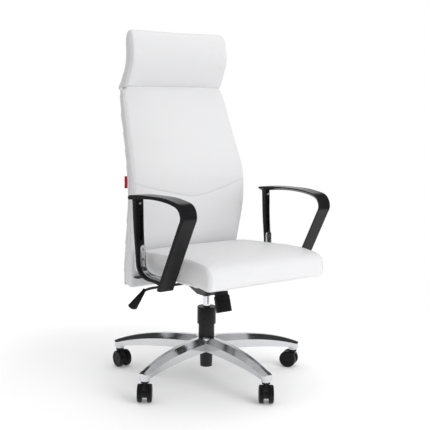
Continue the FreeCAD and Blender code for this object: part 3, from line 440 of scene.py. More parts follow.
# ---------------------------------------------------------------- mesh helpers
def new_piece(name, vertices, faces, finish, body=BODY, slot=None, smooth=True):
    """A finished mesh piece that rides on a body."""
    mesh = bpy.data.meshes.new(name)
    mesh.from_pydata([tuple(v) for v in vertices], [], faces)
    mesh.validate()
    made = bmesh.new()
    made.from_mesh(mesh)
    bmesh.ops.recalc_face_normals(made, faces=made.faces)
    made.to_mesh(mesh)
    made.free()
    piece = bpy.data.objects.new(name, mesh)
    bpy.context.scene.collection.objects.link(piece)
    mesh.materials.append(finish)
    mesh.shade_smooth() if smooth else mesh.shade_flat()
    if body:
        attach(piece, body)
    return piece


def bent(points, steps):
    """A smooth open line through the points, as even steps in each span."""
    line = []
    ends = [points[0] * 2 - points[1]] + list(points) + [points[-1] * 2 - points[-2]]
    for a, b, c, d in zip(ends, ends[1:], ends[2:], ends[3:]):
        for step in range(steps):
            t = step / steps
            line.append(0.5 * (2 * b + (c - a) * t + (2 * a - 5 * b + 4 * c - d) * t * t
                               + (3 * b - a - 3 * c + d) * t ** 3))
    return line + [points[-1]]


def evened(line, spacing, closed=False):
    """The same line with points at an even spacing."""
    points = list(line) + ([line[0]] if closed else [])
    lengths = [0.0]
    for a, b in zip(points, points[1:]):
        lengths.append(lengths[-1] + (b - a).length)
    count = max(2, round(lengths[-1] / spacing))
    result = []
    span = 0
    for index in range(count + (0 if closed else 1)):
        target = lengths[-1] * index / count
        while span < len(lengths) - 2 and lengths[span + 1] < target:
            span += 1
        share = (target - lengths[span]) / max(1e-9, lengths[span + 1] - lengths[span])
        result.append(points[span].lerp(points[span + 1], min(1.0, share)))
    return result


def tube_mesh(line, radius, sides=8, closed=False):
    """Vertices and faces of a round cord along a line."""
    vertices = []
    faces = []
    count = len(line)
    across = None
    for index, point in enumerate(line):
        ahead = line[(index + 1) % count] if closed else line[min(count - 1, index + 1)]
        behind = line[index - 1] if closed or index else line[0]
        along = (ahead - behind).normalized()
        if across is None:
            across = along.orthogonal()
        across = (across - along * across.dot(along)).normalized()
        other = along.cross(across)
        for side in range(sides):
            turn = 2 * math.pi * side / sides
            vertices.append(point + across * radius * math.cos(turn) + other * radius * math.sin(turn))
    rows = count if closed else count - 1
    for row in range(rows):
        for side in range(sides):
            a = row * sides + side
            b = row * sides + (side + 1) % sides
            c = ((row + 1) % count) * sides + (side + 1) % sides
            d = ((row + 1) % count) * sides + side
            faces.append((a, b, c, d))
    if not closed:
        faces.append(tuple(range(sides))[::-1])
        faces.append(tuple(range((count - 1) * sides, count * sides)))
    return vertices, faces


def lathed(profile, centre, axis, sides=48, hollow=False):
    """Vertices and faces of a turned solid: radius and height pairs about an axis through centre.

    A hollow one is a ring, whose profile closes on itself."""
    axis = axis.normalized()
    across = axis.orthogonal().normalized()
    other = axis.cross(across)
    vertices = []
    faces = []
    for radius, height in profile:
        for side in range(sides):
            turn = 2 * math.pi * side / sides
            spoke = across * math.cos(turn) + other * math.sin(turn)
            vertices.append(centre + axis * height + spoke * radius)
    for row in range(len(profile) - (0 if hollow else 1)):
        start = row * sides
        above = (row + 1) % len(profile) * sides
        for side in range(sides):
            after = (side + 1) % sides
            faces.append((start + side, start + after, above + after, above + side))
    if not hollow:
        faces.append(tuple(range(sides))[::-1])
        faces.append(tuple(range((len(profile) - 1) * sides, len(profile) * sides)))
    return vertices, faces


def joined(parts):
    """Several vertex and face lists as one."""
    vertices = []
    faces = []
    for part_vertices, part_faces in parts:
        start = len(vertices)
        vertices.extend(part_vertices)
        faces.extend(tuple(index + start for index in face) for face in part_faces)
    return vertices, faces


def lofted(rings):
    """Vertices and faces of a closed form through equal rings, closed at both ends."""
    vertices = [point for ring in rings for point in ring]
    count = len(rings[0])
    faces = []
    for row in range(len(rings) - 1):
        for index in range(count):
            after = (index + 1) % count
            faces.append((row * count + index, row * count + after,
                          (row + 1) * count + after, (row + 1) * count + index))
    for ring, first in ((rings[0], 0), (rings[-1], (len(rings) - 1) * count)):
        centre = sum(ring, Vector()) / count
        vertices.append(centre)
        hub = len(vertices) - 1
        faces.extend((first + index, first + (index + 1) % count, hub) for index in range(count))
    return vertices, faces


def as_meshed(piece):
    """Turn the piece's modifiers into plain mesh."""
    shown = piece.evaluated_get(bpy.context.evaluated_depsgraph_get())
    mesh = bpy.data.meshes.new_from_object(shown)
    piece.modifiers.clear()
    piece.data = mesh


def leather_piece(name, vertices, faces, body=BODY):
    """A piece in the cover's leatherette."""
    return new_piece(name, vertices, faces, white_leatherette(), body, LEATHER_SLOT)


# ---------------------------------------------------------------- foam and cover
BLOW_FRAMES = 20
COVER_STRETCH = 12
COVER_BEND = 0.6


def relaxed(piece, passes):
    relax = piece.modifiers.new("relax", "SMOOTH")
    relax.factor = 0.5
    relax.iterations = passes


def blown(piece, held, cap, pressure):
    """Press the cover out as cloth, then keep each point's move within its cap."""
    group = piece.vertex_groups.new(name="held")
    start = [vertex.co.copy() for vertex in piece.data.vertices]
    for index, point in enumerate(start):
        group.add([index], held(point), "REPLACE")
    cloth = piece.modifiers.new("cover", "CLOTH")
    cloth.settings.quality = 4
    cloth.settings.use_pressure = True
    cloth.settings.uniform_pressure_force = pressure
    cloth.settings.effector_weights.gravity = 0
    cloth.settings.vertex_group_mass = "held"
    cloth.settings.tension_stiffness = COVER_STRETCH
    cloth.settings.bending_stiffness = COVER_BEND
    cloth.collision_settings.use_collision = False
    cloth.point_cache.frame_end = BLOW_FRAMES
    scene = bpy.context.scene
    for number in range(1, BLOW_FRAMES + 1):
        scene.frame_set(number)
    shown = piece.evaluated_get(bpy.context.evaluated_depsgraph_get())
    swollen = [vertex.co.copy() for vertex in shown.data.vertices]
    piece.modifiers.clear()
    scene.frame_set(1)
    for vertex, before, after in zip(piece.data.vertices, start, swollen):
        move = after - before
        reach = cap(before)
        if move.length > reach:
            move *= reach / move.length
        vertex.co = before + move
    piece.vertex_groups.clear()


def filled(piece, held, cap, voxel=0.006, pressure=4.0):
    """Blow the cover up between the places where it is held, by at most the cap at each point."""
    remesh = piece.modifiers.new("even_mesh", "REMESH")
    remesh.mode = "VOXEL"
    remesh.voxel_size = voxel
    relaxed(piece, 1)
    as_meshed(piece)
    blown(piece, held, cap, pressure)
    relaxed(piece, 2)
    finer = piece.modifiers.new("finer", "SUBSURF")
    finer.levels = 1
    finer.render_levels = 1
    as_meshed(piece)
    piece.data.shade_smooth()


def fitted(piece, low, high):
    """Stretch the padded piece to the outer size that its cover is sewn to; gives the move for its seams."""
    points = [vertex.co for vertex in piece.data.vertices]
    own_low = Vector([min(point[axis] for point in points) for axis in range(3)])
    own_high = Vector([max(point[axis] for point in points) for axis in range(3)])
    scale = [(high[axis] - low[axis]) / (own_high[axis] - own_low[axis]) for axis in range(3)]

    def moved(point):
        return Vector([low[axis] + (point[axis] - own_low[axis]) * scale[axis] for axis in range(3)])

    for vertex in piece.data.vertices:
        vertex.co = moved(vertex.co)
    piece.data.update()
    return moved


def depth_of(piece):
    """The foremost and rearmost y of a piece."""
    depths = [vertex.co.y for vertex in piece.data.vertices]
    return min(depths), max(depths)


def clamped(value):
    return max(0.0, min(1.0, value))


def near_line(line):
    """A tree of a line's points, for distances to it."""
    dense = evened(line, 0.002)
    tree = KDTree(len(dense))
    for index, point in enumerate(dense):
        tree.insert(point, index)
    tree.balance()
    return tree


def creased(piece, tree, width, depth):
    """Draw the cover in along a seam."""
    mesh = piece.data
    normals = [vertex.normal.copy() for vertex in mesh.vertices]
    for vertex, normal in zip(mesh.vertices, normals):
        distance = tree.find(vertex.co)[2]
        if distance < width:
            share = 0.5 + 0.5 * math.cos(math.pi * distance / width)
            vertex.co -= normal * depth * share
    mesh.update()


def surface_of(piece):
    return BVHTree.FromObject(piece, bpy.context.evaluated_depsgraph_get())


def laid_on(tree, line, lift=0.0):
    """The line moved on to a surface, with the surface's outward direction at each point."""
    points = []
    normals = []
    for point in line:
        place, normal = tree.find_nearest(point)[:2]
        points.append(place + normal * lift)
        normals.append(normal)
    return points, normals


def smoothed(line, passes, closed=False):
    points = [point.copy() for point in line]
    for _ in range(passes):
        kept = [point.copy() for point in points]
        for index in range(0 if closed else 1, len(points) - (0 if closed else 1)):
            points[index] = (kept[index - 1] + kept[index] * 2 + kept[(index + 1) % len(kept)]) / 4
    return points


def welt(name, tree, line, closed=False):
    """A thin sewn welt that follows a seam on the surface."""
    radius = upholstery().welt_radius
    path = smoothed(laid_on(tree, evened(line, 0.005, closed), radius * 0.25)[0], 2, closed)
    leather_piece(name, *tube_mesh(path, radius, 8, closed))


def stitched(name, tree, lines):
    """Rows of single stitches laid along seams."""
    sewn = upholstery()
    parts = []
    for line in lines:
        path, normals = laid_on(tree, evened(smoothed(line, 1), sewn.stitch_pitch))
        for a, b, normal in zip(path, path[1:], normals):
            gap = (b - a) * 0.16
            sunk = normal * sewn.stitch_radius * 0.8
            raised = normal * sewn.stitch_radius * 0.7
            middle = (a + b) / 2 + normal * sewn.stitch_radius * 1.1
            arch = [a + gap - sunk, a.lerp(b, 0.3) + raised, middle, a.lerp(b, 0.7) + raised, b - gap - sunk]
            parts.append(tube_mesh(arch, sewn.stitch_radius, 5))
    new_piece(name, *joined(parts), sewing_thread(), BODY, LEATHER_SLOT)


# ---------------------------------------------------------------- seat
# In the seat's own frame: the pad's nose, rear, top and the drop of its lip, and its lower rear corner.
SEAT_NOSE = -0.342
SEAT_REAR = 0.100
SEAT_TOP = 0.075
LIP_DROP = 0.020
REAR_CORNER = 0.030
TOP_CORNER = REAR_CORNER * 0.6
# Height over which the pad's side rounds off above its board, and where the board ends behind the lip.
SEAT_LOW_BAND = 0.030
SEAT_LIP_REAR = -0.262
WRAP_DROP = 0.006
SEAM_TO_STITCH = 0.0045


def from_seat(x, y, z):
    """A point given in the seat's own frame, whose underside is at zero."""
    sewn = upholstery()
    turn = sewn.seat_pitch
    return Vector((x, y * math.cos(turn) + z * math.sin(turn),
                   sewn.seat_height - y * math.sin(turn) + z * math.cos(turn)))


def into_seat(point):
    sewn = upholstery()
    turn = sewn.seat_pitch
    y = point.y
    z = point.z - sewn.seat_height
    return Vector((point.x, y * math.cos(turn) - z * math.sin(turn), y * math.sin(turn) + z * math.cos(turn)))


def seat_outline():
    """Side view of the seat: under the lip, round the nose, along the top and down the rounded rear."""
    front = ((0.097, 0.0), (0.036, 0.003 - LIP_DROP), (0.019, 0.001 - LIP_DROP), (0.006, 0.009 - LIP_DROP),
             (0.0, 0.021), (0.005, 0.044), (0.032, SEAT_TOP - 0.012), (0.106, SEAT_TOP))
    outline = bent([Vector((0, SEAT_NOSE + back, z)) for back, z in front], 8)
    outline += [Vector((0, y, SEAT_TOP + 0.002)) for y in (-0.17, -0.09, 0.0)]
    corners = ((90, TOP_CORNER, SEAT_TOP - TOP_CORNER), (0, REAR_CORNER, REAR_CORNER))
    for start, radius, centre_z in corners:
        centre = Vector((0, SEAT_REAR - radius, centre_z))
        for step in range(7):
            turn = math.radians(start - 15 * step)
            outline.append(centre + Vector((0, radius * math.cos(turn), radius * math.sin(turn))))
    return evened(outline, 0.008, True)


def shrunk(ring, amount):
    """A flat ring in the YZ plane drawn in by an amount."""
    count = len(ring)
    area = sum(a.y * b.z - b.y * a.z for a, b in zip(ring, ring[1:] + ring[:1]))
    turn = 1 if area > 0 else -1
    result = []
    for index in range(count):
        along = (ring[(index + 1) % count] - ring[index - 1]).normalized()
        inward = Vector((0, -along.z, along.y)) * turn
        result.append(ring[index] + inward * amount)
    return result


def seated_low(outline, ring):
    """The drawn-in ring with its underside let down again, so that the pad sits on its board."""
    result = []
    for own, drawn in zip(outline, ring):
        share = clamped(own.z / SEAT_LOW_BAND) if own.y > SEAT_LIP_REAR else 1.0
        result.append(Vector((0, drawn.y, own.z + (drawn.z - own.z) * share)))
    return result


def shoulder_stations(half, radius, steps=5):
    """Distances from the middle and insets that round a form's two sides."""
    side = []
    for step in range(steps + 1):
        turn = math.pi / 2 * step / steps
        side.append((half - radius + radius * math.sin(turn), radius * (1 - math.cos(turn))))
    return [(-x, inset) for x, inset in reversed(side)] + side


def make_seat():
    """Seat pad with its welts and stitches."""
    sewn = upholstery()
    half = (SEAT_HIGH.x - SEAT_LOW.x) / 2
    slack = sewn.start_inset
    outline = seat_outline()
    rings = []
    for x, inset in shoulder_stations(half - slack * 0.6, sewn.shoulder):
        ring = seated_low(outline, shrunk(outline, slack + inset))
        rings.append([from_seat(x, point.y, point.z) for point in ring])
    pad = leather_piece("seat_pad", *lofted(rings), None)
    seam_x = half - sewn.shoulder * 0.75
    edge = shrunk(outline, slack)
    seams = [[from_seat(side * seam_x, point.y, point.z) for point in edge] for side, _ in SIDES]
    trees = [near_line(seam) for seam in seams]

    def held(point):
        own = into_seat(point)
        if own.z < 0.012 and own.y > -0.26:
            return 1.0
        distance = min(tree.find(point)[2] for tree in trees)
        return clamped((0.012 - distance) / 0.004)

    def cap(point):
        own = into_seat(point)
        side = 0.006 if abs(own.x) > half - 0.02 else sewn.swell
        return side * (0.5 if own.y > 0.06 else 1.0)

    filled(pad, held, cap)
    for tree in trees:
        creased(pad, tree, 0.006, 0.0014)
    for vertex in pad.data.vertices:
        own = into_seat(vertex.co)
        low_share = max(0.0, 1 - max(0.0, own.z) / SEAT_LOW_BAND)
        side_share = clamped((abs(own.x) - half + 0.05) / 0.03)
        front_share = clamped(min((-0.11 - own.y) / 0.08, (own.y + 0.31) / 0.06))
        vertex.co -= UP * WRAP_DROP * low_share * side_share * front_share
    proud = Vector((sewn.proud, sewn.proud, sewn.proud / 2))
    moved = fitted(pad, SEAT_LOW - proud, SEAT_HIGH + proud)
    seams = [[moved(point) for point in seam] for seam in seams]
    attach(pad, BODY)
    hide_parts("seat_cushion")
    surface = surface_of(pad)
    rows = []
    for (side, label), seam in zip(SIDES, seams):
        open_seam = [point for point in seam if into_seat(point).z > 0.0 or into_seat(point).y < -0.25]
        welt("seat_welt_" + label, surface, seam, True)
        rows.append([point - Vector((side * SEAM_TO_STITCH, 0, 0)) for point in open_seam])
    stitched("seat_stitches", surface, [longest_run(row) for row in rows])


def longest_run(points):
    """A closed seam's points with the gap, where it is hidden, turned to the ends."""
    gaps = [(after - point).length for point, after in zip(points, points[1:] + points[:1])]
    start = gaps.index(max(gaps)) + 1
    return points[start:] + points[:start]


# ---------------------------------------------------------------- backrest
# Height, rear face, depth of the boxed edge, crown of the front ahead of it, half width. The stations
# stop short of the foot, which rounds off below them.
BACK_STATIONS = (
    (0.348, 0.197, 0.064, 0.002, 0.222), (0.440, 0.183, 0.061, 0.004, 0.226),
    (0.530, 0.161, 0.054, 0.009, 0.232), (0.625, 0.142, 0.047, 0.020, 0.237),
    (0.720, 0.150, 0.050, 0.030, 0.235), (0.835, 0.188, 0.046, 0.034, 0.225),
    (0.920, 0.2197, 0.0464, 0.0281, 0.218), (1.007, 0.240, 0.034, 0.020, 0.211),
)
BACK_FOOT_Z = 0.314
BACK_TOP_Z = BACK_STATIONS[-1][0] - 0.001
COVER_DEPTH = 0.014
CROWN_POWER = 2.6
SIDE_WELT_RADIUS = 0.0032
# How much narrower the top goes on into the headrest's crease, and how far up.
TONGUE_SHARE = 0.93
TONGUE_RISE = 0.012
# The vee seam's height at the middle, and how far it rises at the sides.
VEE_Z = 0.636
VEE_RISE = 0.050
VEE_ROUND = 0.02


def back_at(height):
    """Rear face, edge depth, crown and half width at a height, smooth between the stations."""
    rows = [Vector(row[1:]) for row in BACK_STATIONS]
    heights = [row[0] for row in BACK_STATIONS]
    if height <= heights[0]:
        return rows[0]
    for index in range(len(rows) - 1):
        low, high = heights[index], heights[index + 1]
        if height <= high:
            t = (height - low) / (high - low)
            slopes = []
            for k in (index, index + 1):
                a, b = max(0, k - 1), min(len(rows) - 1, k + 1)
                slopes.append((rows[b] - rows[a]) / (heights[b] - heights[a]))
            span = high - low
            return (rows[index] * (1 + 2 * t) * (1 - t) ** 2 + slopes[0] * span * t * (1 - t) ** 2
                    + rows[index + 1] * t * t * (3 - 2 * t) + slopes[1] * span * t * t * (t - 1))
    return rows[-1]


def back_ring(height, rear_y, half, slack, radius):
    """Level section: boxed edges with rounded front corners and a crowned front."""
    rear, depth, crown = back_at(height)[:3]
    front = rear - depth + slack
    middle_y = (rear_y + front) / 2
    corner = 5
    rounded = []
    for step in range(corner + 1):
        turn = math.pi / 2 * step / corner
        rounded.append((half - radius * (1 - math.cos(turn)), front + radius * (1 - math.sin(turn))))
    inner = []
    for step in range(25):
        x = half * (1 - 2 * step / 24)
        if abs(x) < half - radius * 1.1:
            inner.append((x, front - crown * (1 - (abs(x) / half) ** CROWN_POWER)))
    mirrored = [(-x, y) for x, y in rounded[::-1]]
    back = [(x, rear_y) for x in (-half, -half * 0.5, 0, half * 0.5)]
    outline = [(half, rear_y), (half, middle_y)] + rounded + inner + mirrored + [(-half, middle_y)] + back
    return [Vector((x, y, height)) for x, y in outline]


def foot_scale(height, low, reach):
    """Nought at the form's foot, one above its rounded edge."""
    share = clamped((height - low) / reach)
    return math.sqrt(1 - (1 - share) ** 2)


def back_heights(low, high, rounding):
    fine = [low + rounding * (1 - math.cos(math.pi / 2 * step / 6)) for step in range(1, 7)]
    count = 42
    plain = [low + rounding + (high - low - 2 * rounding) * step / count for step in range(1, count)]
    top = sorted(high - rounding * (1 - math.sin(math.pi / 2 * step / 5)) for step in range(6))
    return fine + plain + top


def tongue(ring):
    """Two more rings that carry a form's top up into the crease under the headrest."""
    centre = sum(ring, Vector()) / len(ring)
    narrow = [centre + (point - centre) * TONGUE_SHARE for point in ring]
    return [narrow, [point + UP * TONGUE_RISE for point in narrow]]


def front_edge(side, low, high):
    """The seam between the front panel and the boxed edge at one side."""
    sewn = upholstery()
    line = []
    for step in range(60):
        height = low + 0.012 + (high - low - 0.018) * step / 59
        rear, depth, crown, half = back_at(height)
        x = side * (half - sewn.start_inset * 0.7 - sewn.shoulder * 0.55)
        line.append(Vector((x, rear - depth + sewn.start_inset + sewn.shoulder * 0.2, height)))
    return line


def vee_line():
    """The shallow vee sewn across the front panel."""
    sewn = upholstery()
    sharp = math.sqrt(VEE_ROUND)
    full = math.sqrt(1 + VEE_ROUND) - sharp
    line = []
    for step in range(41):
        x = -1 + step / 20
        height = VEE_Z + VEE_RISE * (math.sqrt(x * x + VEE_ROUND) - sharp) / full
        rear, depth, crown, half = back_at(height)
        y = rear - depth + sewn.start_inset - crown * (1 - abs(x) ** CROWN_POWER)
        line.append(Vector((x * (half - sewn.shoulder), y, height)))
    return line


def make_back_pad():
    """Front of the back: crowned panel with boxed edges, sewn along the edge and across in a shallow vee."""
    sewn = upholstery()
    slack = sewn.start_inset
    low = BACK_FOOT_Z + 0.004
    high = BACK_TOP_Z
    rings = []
    for height in back_heights(low, high, 0.016):
        rear, depth, crown, half = back_at(height)
        near = min(foot_scale(height, low, 0.034), foot_scale(high + 0.005, height, 0.009))
        board = rear - COVER_DEPTH + 0.001
        ring = back_ring(height, board, half - slack * 0.7, slack, sewn.shoulder * 0.6)
        middle = board - depth * 0.42
        wide = 0.955 + 0.045 * near
        deep = 0.25 + 0.75 * near
        rings.append([Vector((p.x * wide, middle + (p.y - middle) * deep, p.z)) for p in ring])
    rings.extend(tongue(rings[-1]))
    pad = leather_piece("back_pad", *lofted(rings), None)
    edges = [front_edge(side, low, high) for side, _ in SIDES]
    vee = vee_line()
    edge_trees = [near_line(line) for line in edges]
    vee_tree = near_line(vee)

    def held(point):
        rear = back_at(point.z)[0]
        if point.y > rear - COVER_DEPTH - 0.006:
            return 1.0
        distance = min(tree.find(point)[2] for tree in edge_trees)
        firm = clamped((0.010 - distance) / 0.004)
        seam = max(0.0, min(0.9, (0.009 - vee_tree.find(point)[2]) / 0.005))
        return max(firm, seam)

    def cap(point):
        half = back_at(point.z)[3]
        if abs(point.x) > half - 0.02:
            return 0.005
        return sewn.swell * (0.5 if point.z < 0.47 else 1.0)

    filled(pad, held, cap)
    for tree in edge_trees:
        creased(pad, tree, 0.007, 0.0016)
    creased(pad, vee_tree, 0.0065, 0.0012)
    low_y, high_y = depth_of(pad)
    moved = fitted(pad, Vector((BACK_LOW.x - sewn.proud, low_y, BACK_LOW.z)),
                   Vector((BACK_HIGH.x + sewn.proud, high_y, BACK_HIGH.z + TONGUE_RISE + 0.001)))
    edges = [[moved(point) for point in line] for line in edges]
    vee = [moved(point) for point in vee]
    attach(pad, BODY)
    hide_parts("back_cushion")
    surface = surface_of(pad)
    for (_, label), line in zip(SIDES, edges):
        welt("back_front_welt_" + label, surface, line)
    path = smoothed(laid_on(surface, evened(vee[1:-1], 0.004), 0.0001)[0], 1)
    new_piece("back_vee_seam", *tube_mesh(path, 0.0007, 6), sewing_thread(), BODY, LEATHER_SLOT)


def make_back_cover():
    """Rear panel of the back: a thin pad behind the board, with a thick welt down each side."""
    sewn = upholstery()
    low = BACK_FOOT_Z + 0.006
    high = BACK_TOP_Z
    rings = []
    for height in back_heights(low, high, 0.010):
        rear = back_at(height)[0]
        half = back_at(height)[3]
        near = min(foot_scale(height, low, 0.022), foot_scale(high + 0.004, height, 0.012))
        front = rear - COVER_DEPTH + 0.0005
        thickness = (COVER_DEPTH - 0.002) * (0.35 + 0.65 * near)
        reach = (half - 0.003) * (0.965 + 0.035 * near)
        ring = []
        for step in range(33):
            x = reach * (1 - 2 * step / 32)
            bow = 1 - (abs(x) / reach) ** 8
            ring.append(Vector((x, front + thickness * (0.45 + 0.55 * math.sqrt(max(0.0, bow))), height)))
        ring += [Vector((x * reach, front, height)) for x in (-1, -0.5, 0, 0.5, 1)]
        rings.append(ring)
    rings.extend(tongue(rings[-1]))
    panel = leather_piece("back_rear_panel", *lofted(rings), None)

    def held(point):
        own = back_at(point.z)
        if point.y < own[0] - COVER_DEPTH + 0.006 or abs(point.x) > own[3] - 0.012:
            return 1.0
        return 1.0 if point.z < low + 0.010 or point.z > high - 0.010 else 0.0

    filled(panel, held, lambda point: 0.004, voxel=0.005, pressure=2.0)
    low_y, high_y = depth_of(panel)
    fitted(panel, Vector((COVER_LOW.x - sewn.proud, low_y, BACK_FOOT_Z + 0.004)),
           Vector((COVER_HIGH.x + sewn.proud, high_y, COVER_HIGH.z + TONGUE_RISE + 0.001)))
    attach(panel, BODY)
    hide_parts("back_rear_cover")
    surface = surface_of(panel)
    widen = (BACK_HIGH.x + sewn.proud) / BACK_HIGH.x
    rows = []
    for side, label in SIDES:
        line = []
        for step in range(70):
            height = low + 0.010 + (high - low - 0.012) * step / 69
            own = back_at(height)
            x = side * (own[3] * widen - SIDE_WELT_RADIUS * 0.8)
            line.append(Vector((x, own[0] - COVER_DEPTH, height)))
        leather_piece("back_side_welt_" + label, *tube_mesh(evened(line, 0.005), SIDE_WELT_RADIUS, 10))
        row = []
        for step in range(81):
            height = low + 0.02 + (high - low - 0.03) * step / 80
            row.append(Vector((side * (back_at(height)[3] - 0.012), back_at(height)[0] + 0.002, height)))
        rows.append(row)
    foot_z = low + 0.020
    rows.append([Vector((-0.20 + 0.01 * step, back_at(foot_z)[0], foot_z)) for step in range(41)])
    stitched("back_rear_stitches", surface, rows)


# ---------------------------------------------------------------- headrest
# Height, rear face and front face.
HEAD_STATIONS = ((1.012, 0.259, 0.202), (1.050, 0.234, 0.183), (1.112, 0.218, 0.165), (1.172, 0.219, 0.171))
HEAD_TOP = (1.208, 0.200)
HEAD_CORNER = 0.034
HEAD_SHOULDER = 0.016
# Height over which the drawn-in outline comes back down to the roll's foot.
HEAD_FOOT_BAND = 0.045


def headrest_outline():
    """Side view of the roll: up the rear, over the top and down the face."""
    rear = [Vector((0, y, z)) for z, y, _ in HEAD_STATIONS]
    face = [Vector((0, y, z)) for z, _, y in reversed(HEAD_STATIONS)]
    top = Vector((0, HEAD_TOP[1] - 0.004, HEAD_TOP[0]))
    half_up = [Vector((0, 0.214, 1.196)), top, Vector((0, 0.182, 1.198))]
    line = bent(rear + half_up + face, 8)
    line += [Vector((0, 0.212, 1.0105)), Vector((0, 0.232, 1.0100)), Vector((0, 0.250, 1.0105))]
    return evened(line, 0.007, True)


def headrest_height(height, drop, inset):
    """A drawn-in point's height, let down towards the foot and lowered under the rounded upper corners."""
    base = HEAD_LOW.z
    tall = HEAD_TOP[0] - base
    share = clamped((height - base) / tall)
    low_share = max(0.0, 1 - (height - base - inset) / HEAD_FOOT_BAND)
    return height - inset * min(1.0, low_share) - drop * share


def make_headrest():
    """Headrest roll, with boxed sides and rounded upper corners."""
    sewn = upholstery()
    slack = sewn.start_inset
    half = (HEAD_HIGH.x - HEAD_LOW.x) / 2
    outline = headrest_outline()
    rings = []
    for x, inset in shoulder_stations(half - slack * 0.6, HEAD_SHOULDER, 6):
        ring = shrunk(outline, slack + inset)
        over = max(0.0, abs(x) - (half - HEAD_CORNER))
        drop = HEAD_CORNER - math.sqrt(max(0.0, HEAD_CORNER ** 2 - over ** 2))
        rings.append([Vector((x, p.y, headrest_height(p.z, drop, slack + inset))) for p in ring])
    middle = len(rings) // 2
    pad = leather_piece("headrest_pad", *lofted(rings), None)
    seams = []
    for (side, _), ring in zip(SIDES, (rings[middle - 1], rings[middle])):
        seams.append([Vector((side * (half - 0.010), p.y, p.z)) for p in ring])
    trees = [near_line(seam) for seam in seams]

    def held(point):
        if point.z < HEAD_LOW.z + 0.004:
            return 1.0
        distance = min(tree.find(point)[2] for tree in trees)
        return clamped((0.011 - distance) / 0.005)

    def cap(point):
        side = 0.005 if abs(point.x) > half - 0.02 else sewn.swell * 0.9
        return side * (0.4 if point.z < 1.022 else 1.0)

    filled(pad, held, cap)
    moved = fitted(pad, Vector((HEAD_LOW.x - sewn.proud, HEAD_LOW.y - 0.003, BACK_HIGH.z - 0.003)),
                   HEAD_HIGH + Vector((sewn.proud, 0.002, 0.002)))
    seams = [[moved(point) for point in seam] for seam in seams]
    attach(pad, BODY)
    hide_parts("headrest_cushion")
    surface = surface_of(pad)
    for (_, label), seam in zip(SIDES, seams):
        welt("headrest_welt_" + label, surface, laid_on(surface, seam)[0], True)


# ---------------------------------------------------------------- carried-over metal, plastic and wood
def finish_nodes(finish, names):
    """Give CAD nodes their finish, in place of the plain one they were packed with."""
    for name in names:
        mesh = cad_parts[name].data
        mesh.materials.clear()
        mesh.materials.append(finish)


def nodes_like(*starts):
    return [name for name in sorted(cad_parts) if name.startswith(starts)]


# The arm post's rear line from the top down, and how deep the post is there.
POST_LINE = ((0.028, 0.653, 0.026), (0.021, 0.560, 0.022), (0.007, 0.450, 0.014), (-0.003, 0.411, 0.012),
             (-0.028, 0.393, 0.010), (-0.068, 0.386, 0.0085), (-0.148, 0.378, 0.008))
BAR_DEPTH = 0.008
# How far in from the bracket's outer side its two raised lines run, and between which heights.
BEAD_INSETS = (0.0042, 0.0178)
BEAD_LOW_Z = 0.386
BEAD_HIGH_Z = 0.474
BRACKET_SCREW_HEIGHTS = (0.476, 0.446)
# Radius and height pairs of the screws' heads, up from the foot and down into the recess.
BRACKET_SCREW = ((0.0042, -0.001), (0.0042, 0.0006), (0.0036, 0.0016), (0.0020, 0.0021), (0.0016, 0.0012),
                 (0.0002, 0.0011))
PAD_SCREW = ((0.0050, -0.003), (0.0050, 0.0010), (0.0040, 0.0022), (0.0022, 0.0026), (0.0018, 0.0015),
             (0.0002, 0.0014))
PAD_SCREW_Z = 0.6335
PAD_SCREW_WAY = Vector((0, -1, -0.35))
RIB_LOW_Z = 0.520
RIB_PITCH = 0.021
RIB_HALF = Vector((0.0059, 0.0055, 0.0008))


def post_line(x, depth_share, extra):
    """The post's line moved in by a share of its depth and an extra distance."""
    points = []
    for index, (y, z, depth) in enumerate(POST_LINE):
        before = POST_LINE[max(0, index - 1)]
        after = POST_LINE[min(len(POST_LINE) - 1, index + 1)]
        along = Vector((0, after[0] - before[0], after[1] - before[1])).normalized()
        inward = Vector((0, along.z, -along.y))
        points.append(Vector((x, y, z)) + inward * (depth * depth_share + extra))
    return bent(points, 10)


def at_height(line, height):
    """The line's point that is nearest to a height."""
    return min(line, key=lambda point: abs(point.z - height))


